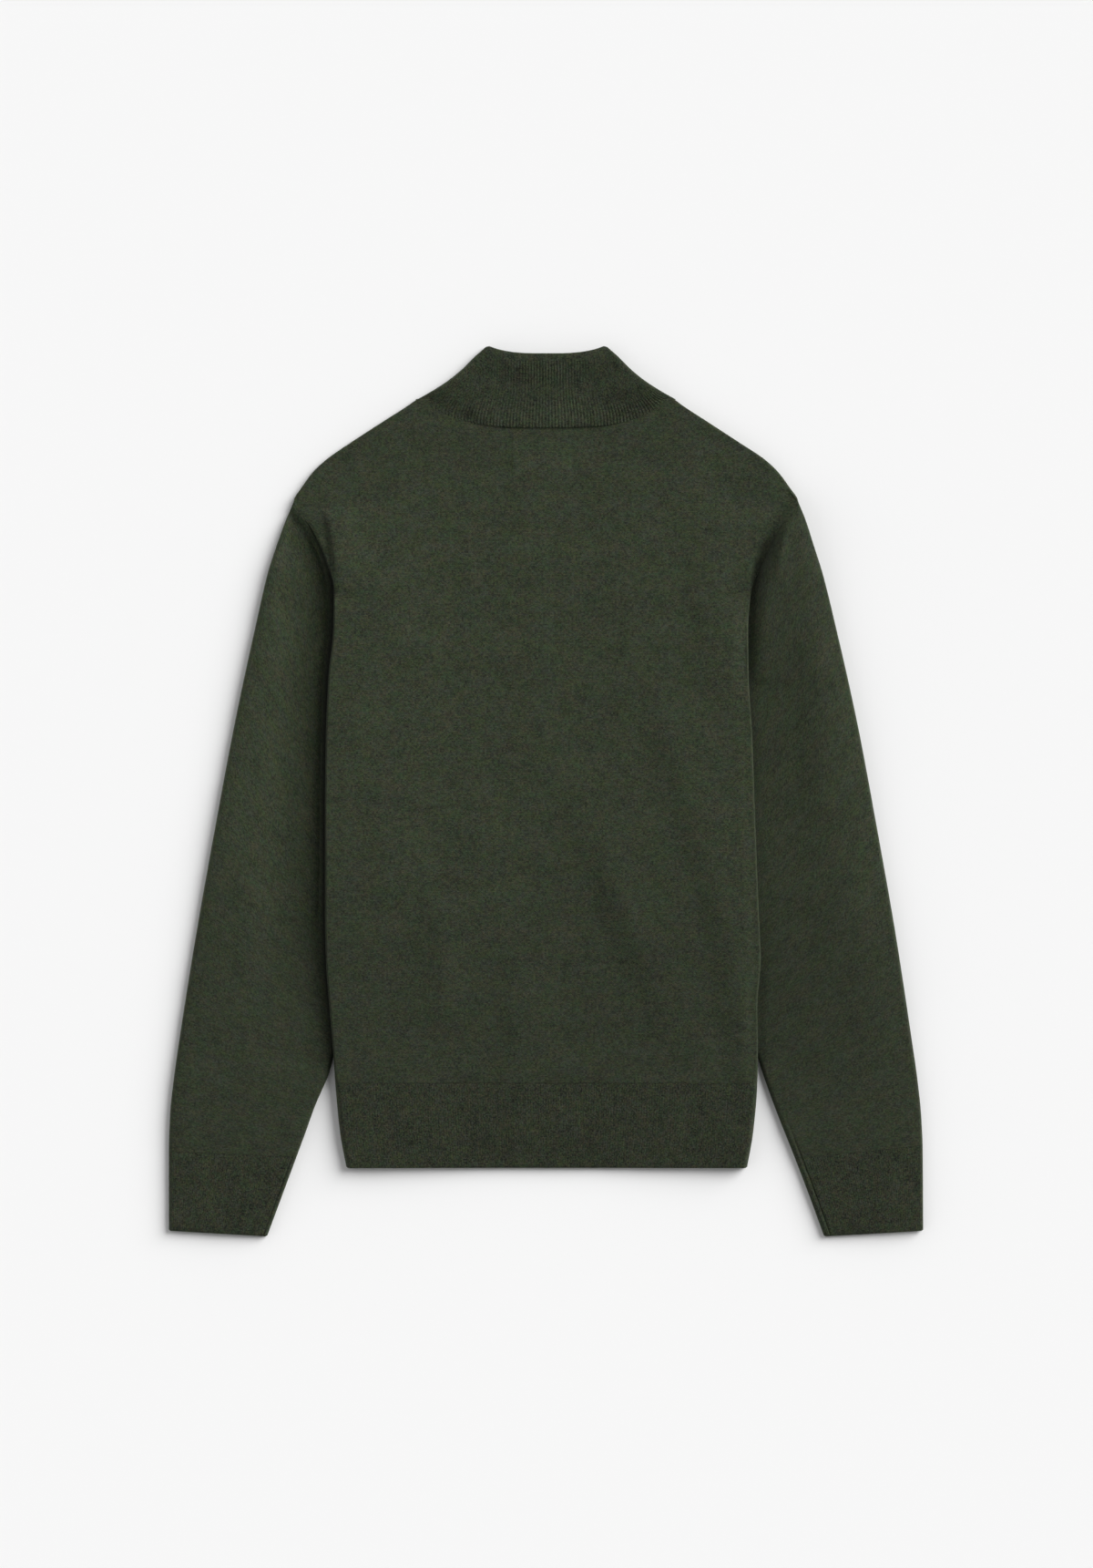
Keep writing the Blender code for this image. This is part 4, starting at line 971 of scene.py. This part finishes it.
def knitted(name, moss, grey, wale, course, shade=1.0, fleck=1.0, stretch=(0.82, 1.22, 1.0)):
    """Heathered wool knit: yarn spun from moss green and brown grey fibres, in V stitches.

    The eye gets a soft matt surface, a fine fleck in every stitch and slow cloudy changes of
    shade. wale and course are the stitch's width and height in millimetres; stretch draws the
    flecks out along the courses.
    """
    material, node = new_material(name)
    place = node("UVMap", uv_map="wales")

    def noise(size, shift=0.0):
        """Cloudy pattern whose features are about size millimetres across, around zero."""
        moved = node("VectorMath", (place, stretch, (shift, shift * 0.7, 0)),
                     operation="MULTIPLY_ADD")
        texture = node("TexNoise", {"Vector": moved, "Scale": 1000 / size, "Detail": 1.0},
                       noise_dimensions="2D")
        return node("Math", (texture, 0.5), operation="SUBTRACT")

    def weighted(*terms):
        """Sum of (output, weight) pairs."""
        total = 0.0
        for value, weight in terms:
            total = node("Math", (value, weight, total), operation="MULTIPLY_ADD")
        return total

    # rows of stitches, which wander a little
    drift = node("TexNoise", {"Vector": place, "Scale": 1000 / 26, "Detail": 1.0}, output=1,
                 noise_dimensions="2D")
    drift = node("VectorMath", (drift, (0.5, 0.5, 0.5)), operation="SUBTRACT")
    stitches = node("VectorMath", (place, (1000 / wale, 1000 / course, 0.0)), operation="MULTIPLY")
    stitches = node("VectorMath", (drift, (1.1, 1.1, 0), stitches), operation="MULTIPLY_ADD")
    # the two legs of each V: a slant that mirrors about the middle of the wale
    across = node("SeparateXYZ", (stitches,))
    along = across.node.outputs[1]
    across = node("Math", (across,), operation="FRACT")
    across = node("Math", (across, 0.5), operation="SUBTRACT")
    across = node("Math", (across,), operation="ABSOLUTE")
    loop = node("Math", (across, -1.3, along), operation="MULTIPLY_ADD")
    loop = node("Math", (loop, math.tau), operation="MULTIPLY")
    loop = node("Math", (loop,), operation="COSINE")
    leg = node("Math", (across, 2 * math.tau), operation="MULTIPLY")
    leg = node("Math", (leg,), operation="COSINE")
    height = weighted((loop, 0.22), (leg, -0.28))

    # each stitch has yarn of its own shade
    yarn = node("VectorMath", (stitches,), operation="FLOOR")
    yarn = node("TexWhiteNoise", {"Vector": yarn}, noise_dimensions="2D")
    yarn = node("Math", (yarn, 0.5), operation="SUBTRACT")

    light = weighted((yarn, 0.65 * fleck), (noise(1.2), 1.5 * fleck), (noise(3.2, 1), 0.55 * fleck),
                     (noise(9, 2), 0.44 * fleck), (noise(34, 3), 0.32 * fleck), (height, 0.3))
    light = node("Math", (light, shade))
    # painted shade and highlight: darker towards the hem and cuffs and in creases, lighter on a
    # ridge
    painted_light = node("Attribute", output="Fac", attribute_name="painted_shade")
    painted_light = node("Math", (1.0, painted_light), operation="SUBTRACT")
    light = node("Math", (light, painted_light), operation="MULTIPLY")

    def mixed(size, shift, first, second):
        """Two fibres' colours, mixed in flecks and clouds."""
        amount = weighted((noise(size, shift), 1.9 * fleck),
                          (noise(3 * size, shift + 1), 1.3 * fleck),
                          (noise(9 * size, shift + 2), 1.0))
        amount = node("Math", (amount, 0.5), use_clamp=True)
        return node("Mix", {0: amount, 6: first, 7: second}, output=2, data_type="RGBA")

    fibres = mixed(2.4, 4, linear(moss), linear(grey))
    tint = mixed(2.0, 8, (0.885, 1.0, 1.14, 1.0), (1.115, 1.0, 0.86, 1.0))
    yarns = node("VectorMath", (fibres, tint), operation="MULTIPLY")
    bump = node("Bump", {"Strength": 0.55, "Distance": 0.0004,
                         "Height": weighted((height, 1.0), (noise(1.2), 0.8))})
    node("OutputMaterial", {0: node("BsdfPrincipled", {
        "Base Color": node("VectorMath", {0: yarns, "Scale": light}, operation="SCALE"),
        "Roughness": 0.92, "IOR": 1.5, "Specular IOR Level": 0.25, "Sheen Weight": 0.35,
        "Sheen Roughness": 0.45, "Sheen Tint": linear("7E8C70"), "Normal": bump})})
    return material


def woven_tape(name):
    """Woven polyester zip tape: a tight herringbone with a slight gloss."""
    material, node = new_material(name)
    across = node("SeparateXYZ", (node("UVMap", uv_map="wales"),))
    # herringbone columns 4 mm wide; the yarns are 0.5 mm, drawn at 0.8 mm so that they show
    column = node("Math", (across, 0.004), operation="PINGPONG")
    yarn = node("Math", (column, 1.0, across.node.outputs[1]), operation="MULTIPLY_ADD")
    yarn = node("Math", (yarn, math.tau / 0.0008), operation="MULTIPLY")
    yarn = node("Math", (yarn,), operation="COSINE")
    shade = node("MapRange", (yarn, -1.0, 1.0, 0.7, 1.25))
    colour = node("VectorMath", {0: linear("222B22")[:3], "Scale": shade}, operation="SCALE")
    bump = node("Bump", {"Strength": 0.5, "Distance": 0.0002, "Height": yarn})
    node("OutputMaterial", {0: node("BsdfPrincipled", {
        "Base Color": colour, "Roughness": 0.6, "IOR": 1.53, "Normal": bump})})
    return material


def brushed_metal(name):
    """Brass zip parts, plated dark and brushed: fine streaks, and cloudy where they tarnish."""
    material, node = new_material(name)
    place = node("TexCoord", output="Object")
    # brush marks of 0.15 mm, drawn out along the zip
    streaks = node("VectorMath", (place, (6000, 500, 6000)), operation="MULTIPLY")
    streaks = node("TexNoise", {"Vector": streaks, "Scale": 1.0, "Detail": 2.0})
    cloudy = node("TexNoise", {"Vector": place, "Scale": 250.0, "Detail": 2.0})
    colour = node("Mix", {0: cloudy, 6: linear("4C4943"), 7: linear("6A665E")}, output=2,
                  data_type="RGBA")
    rough = node("MapRange", (streaks, 0.3, 0.7, 0.28, 0.45))
    bump = node("Bump", {"Strength": 0.15, "Distance": 0.00005, "Height": streaks})
    node("OutputMaterial", {0: node("BsdfPrincipled", {
        "Base Color": colour, "Roughness": rough, "Metallic": 1.0, "Normal": bump})})
    return material


def studio_paper(name):
    """Matt white studio paper with a faint grain."""
    material, node = new_material(name)
    grain = node("TexNoise", {"Vector": node("TexCoord", output="Object"), "Scale": 900.0,
                              "Detail": 2.0})
    shade = node("MapRange", {0: grain, 3: 0.995, 4: 1.005})
    colour = node("VectorMath", {0: (0.86, 0.86, 0.86), "Scale": shade}, operation="SCALE")
    node("OutputMaterial", {0: node("BsdfPrincipled", {
        "Base Color": colour, "Roughness": 1.0, "Specular IOR Level": 0.0})})
    return material


# Fine wool plain knit, piece dyed and brushed soft; its stitches are 1.3 by 1.0 mm on the real
# thing, drawn at 1.7 by 1.3 mm so that they show
HEATHER = knitted("heathered_wool_plain_knit", "29341F", "303227", 1.7, 1.3)
# The same yarn in a tighter 1 by 1 rib, a little darker all over with painted shade
RIBBED = knitted("heathered_wool_fine_rib", "28321E", "2F3025", 1.12, 1.2, shade=0.955, fleck=1.4,
                 stretch=(1.0, 1.0, 1.0))
# The same yarn in the collar's rib, darker still with painted shade
COLLAR_KNIT = knitted("heathered_wool_collar_rib", "28331F", "2F3126", 1.43, 1.2, shade=0.85,
                      fleck=1.15, stretch=(1.0, 1.0, 1.0))
TAPE_WEAVE = woven_tape("woven_zip_tape")
ZIP_METAL = brushed_metal("plated_brass_brushed")
PAPER = studio_paper("white_studio_paper")

# ---- the sweater

back = make_back()
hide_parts("back_panel")
hem_back = make_hem_back()
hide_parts("hem_back")
front = make_front()
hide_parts("front_panel")
hem_front = make_hem_front()
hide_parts("hem_front")
collar = make_collar()
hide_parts("collar")

for side, sign in SIDES:
    turning = make_front_side(side, sign)
    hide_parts("front_side_" + side)

    sleeve = make_sleeve(side, sign)
    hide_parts("sleeve_" + side)

    cuff = make_cuff(side, sign)
    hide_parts("cuff_" + side)

    tape = make_tape(side, sign)
    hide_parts("zip_tape_" + side)
    make_teeth(side, sign)

for name in ("zip_slider", "pull_tab"):
    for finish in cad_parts[name].material_slots:
        finish.material = ZIP_METAL

# ---- studio

bpy.ops.mesh.primitive_plane_add(size=40, location=(0, 0, -0.0002))
floor = bpy.context.object
floor.name = "studio_floor"
floor.data.materials.append(PAPER)

# soft key light, low from the upper right
sun = bpy.data.lights.new("key", "SUN")
sun.energy = 4.5
sun.angle = math.radians(46)
placed(sun).rotation_euler = (0, math.radians(60), math.radians(35))

# the room: pale all round, brightest low down and on the key light's side
world = bpy.data.worlds.new("studio")
world.use_nodes = True
toward = add(world, "VectorMath", (add(world, "TexCoord"), (-0.4, 0.12, -1.9)),
             output="Value", operation="DOT_PRODUCT")
level = add(world, "Math", (toward, 1.5))
level = add(world, "Math", (level, 0.1), operation="MAXIMUM")
sky = world.node_tree.nodes["Background"]
sky.inputs["Color"].default_value = (1, 1, 1, 1)
world.node_tree.links.new(level, sky.inputs["Strength"])
bpy.context.scene.world = world

camera = bpy.data.cameras.new("camera")
camera.lens = 100
camera.sensor_width = 36
camera.clip_end = 60
view = placed(camera)
# straight above; the picture is SEEN metres tall where the sweater lies
SEEN, MIDDLE_Y, MIDDLE_Z = 1.3768, 0.0064, 0.0064
view.location = (0.0, MIDDLE_Y, MIDDLE_Z + SEEN * camera.lens / camera.sensor_width)
bpy.context.scene.camera = view
bpy.context.scene.view_settings.view_transform = "Standard"
bpy.context.scene.view_settings.look = "None"
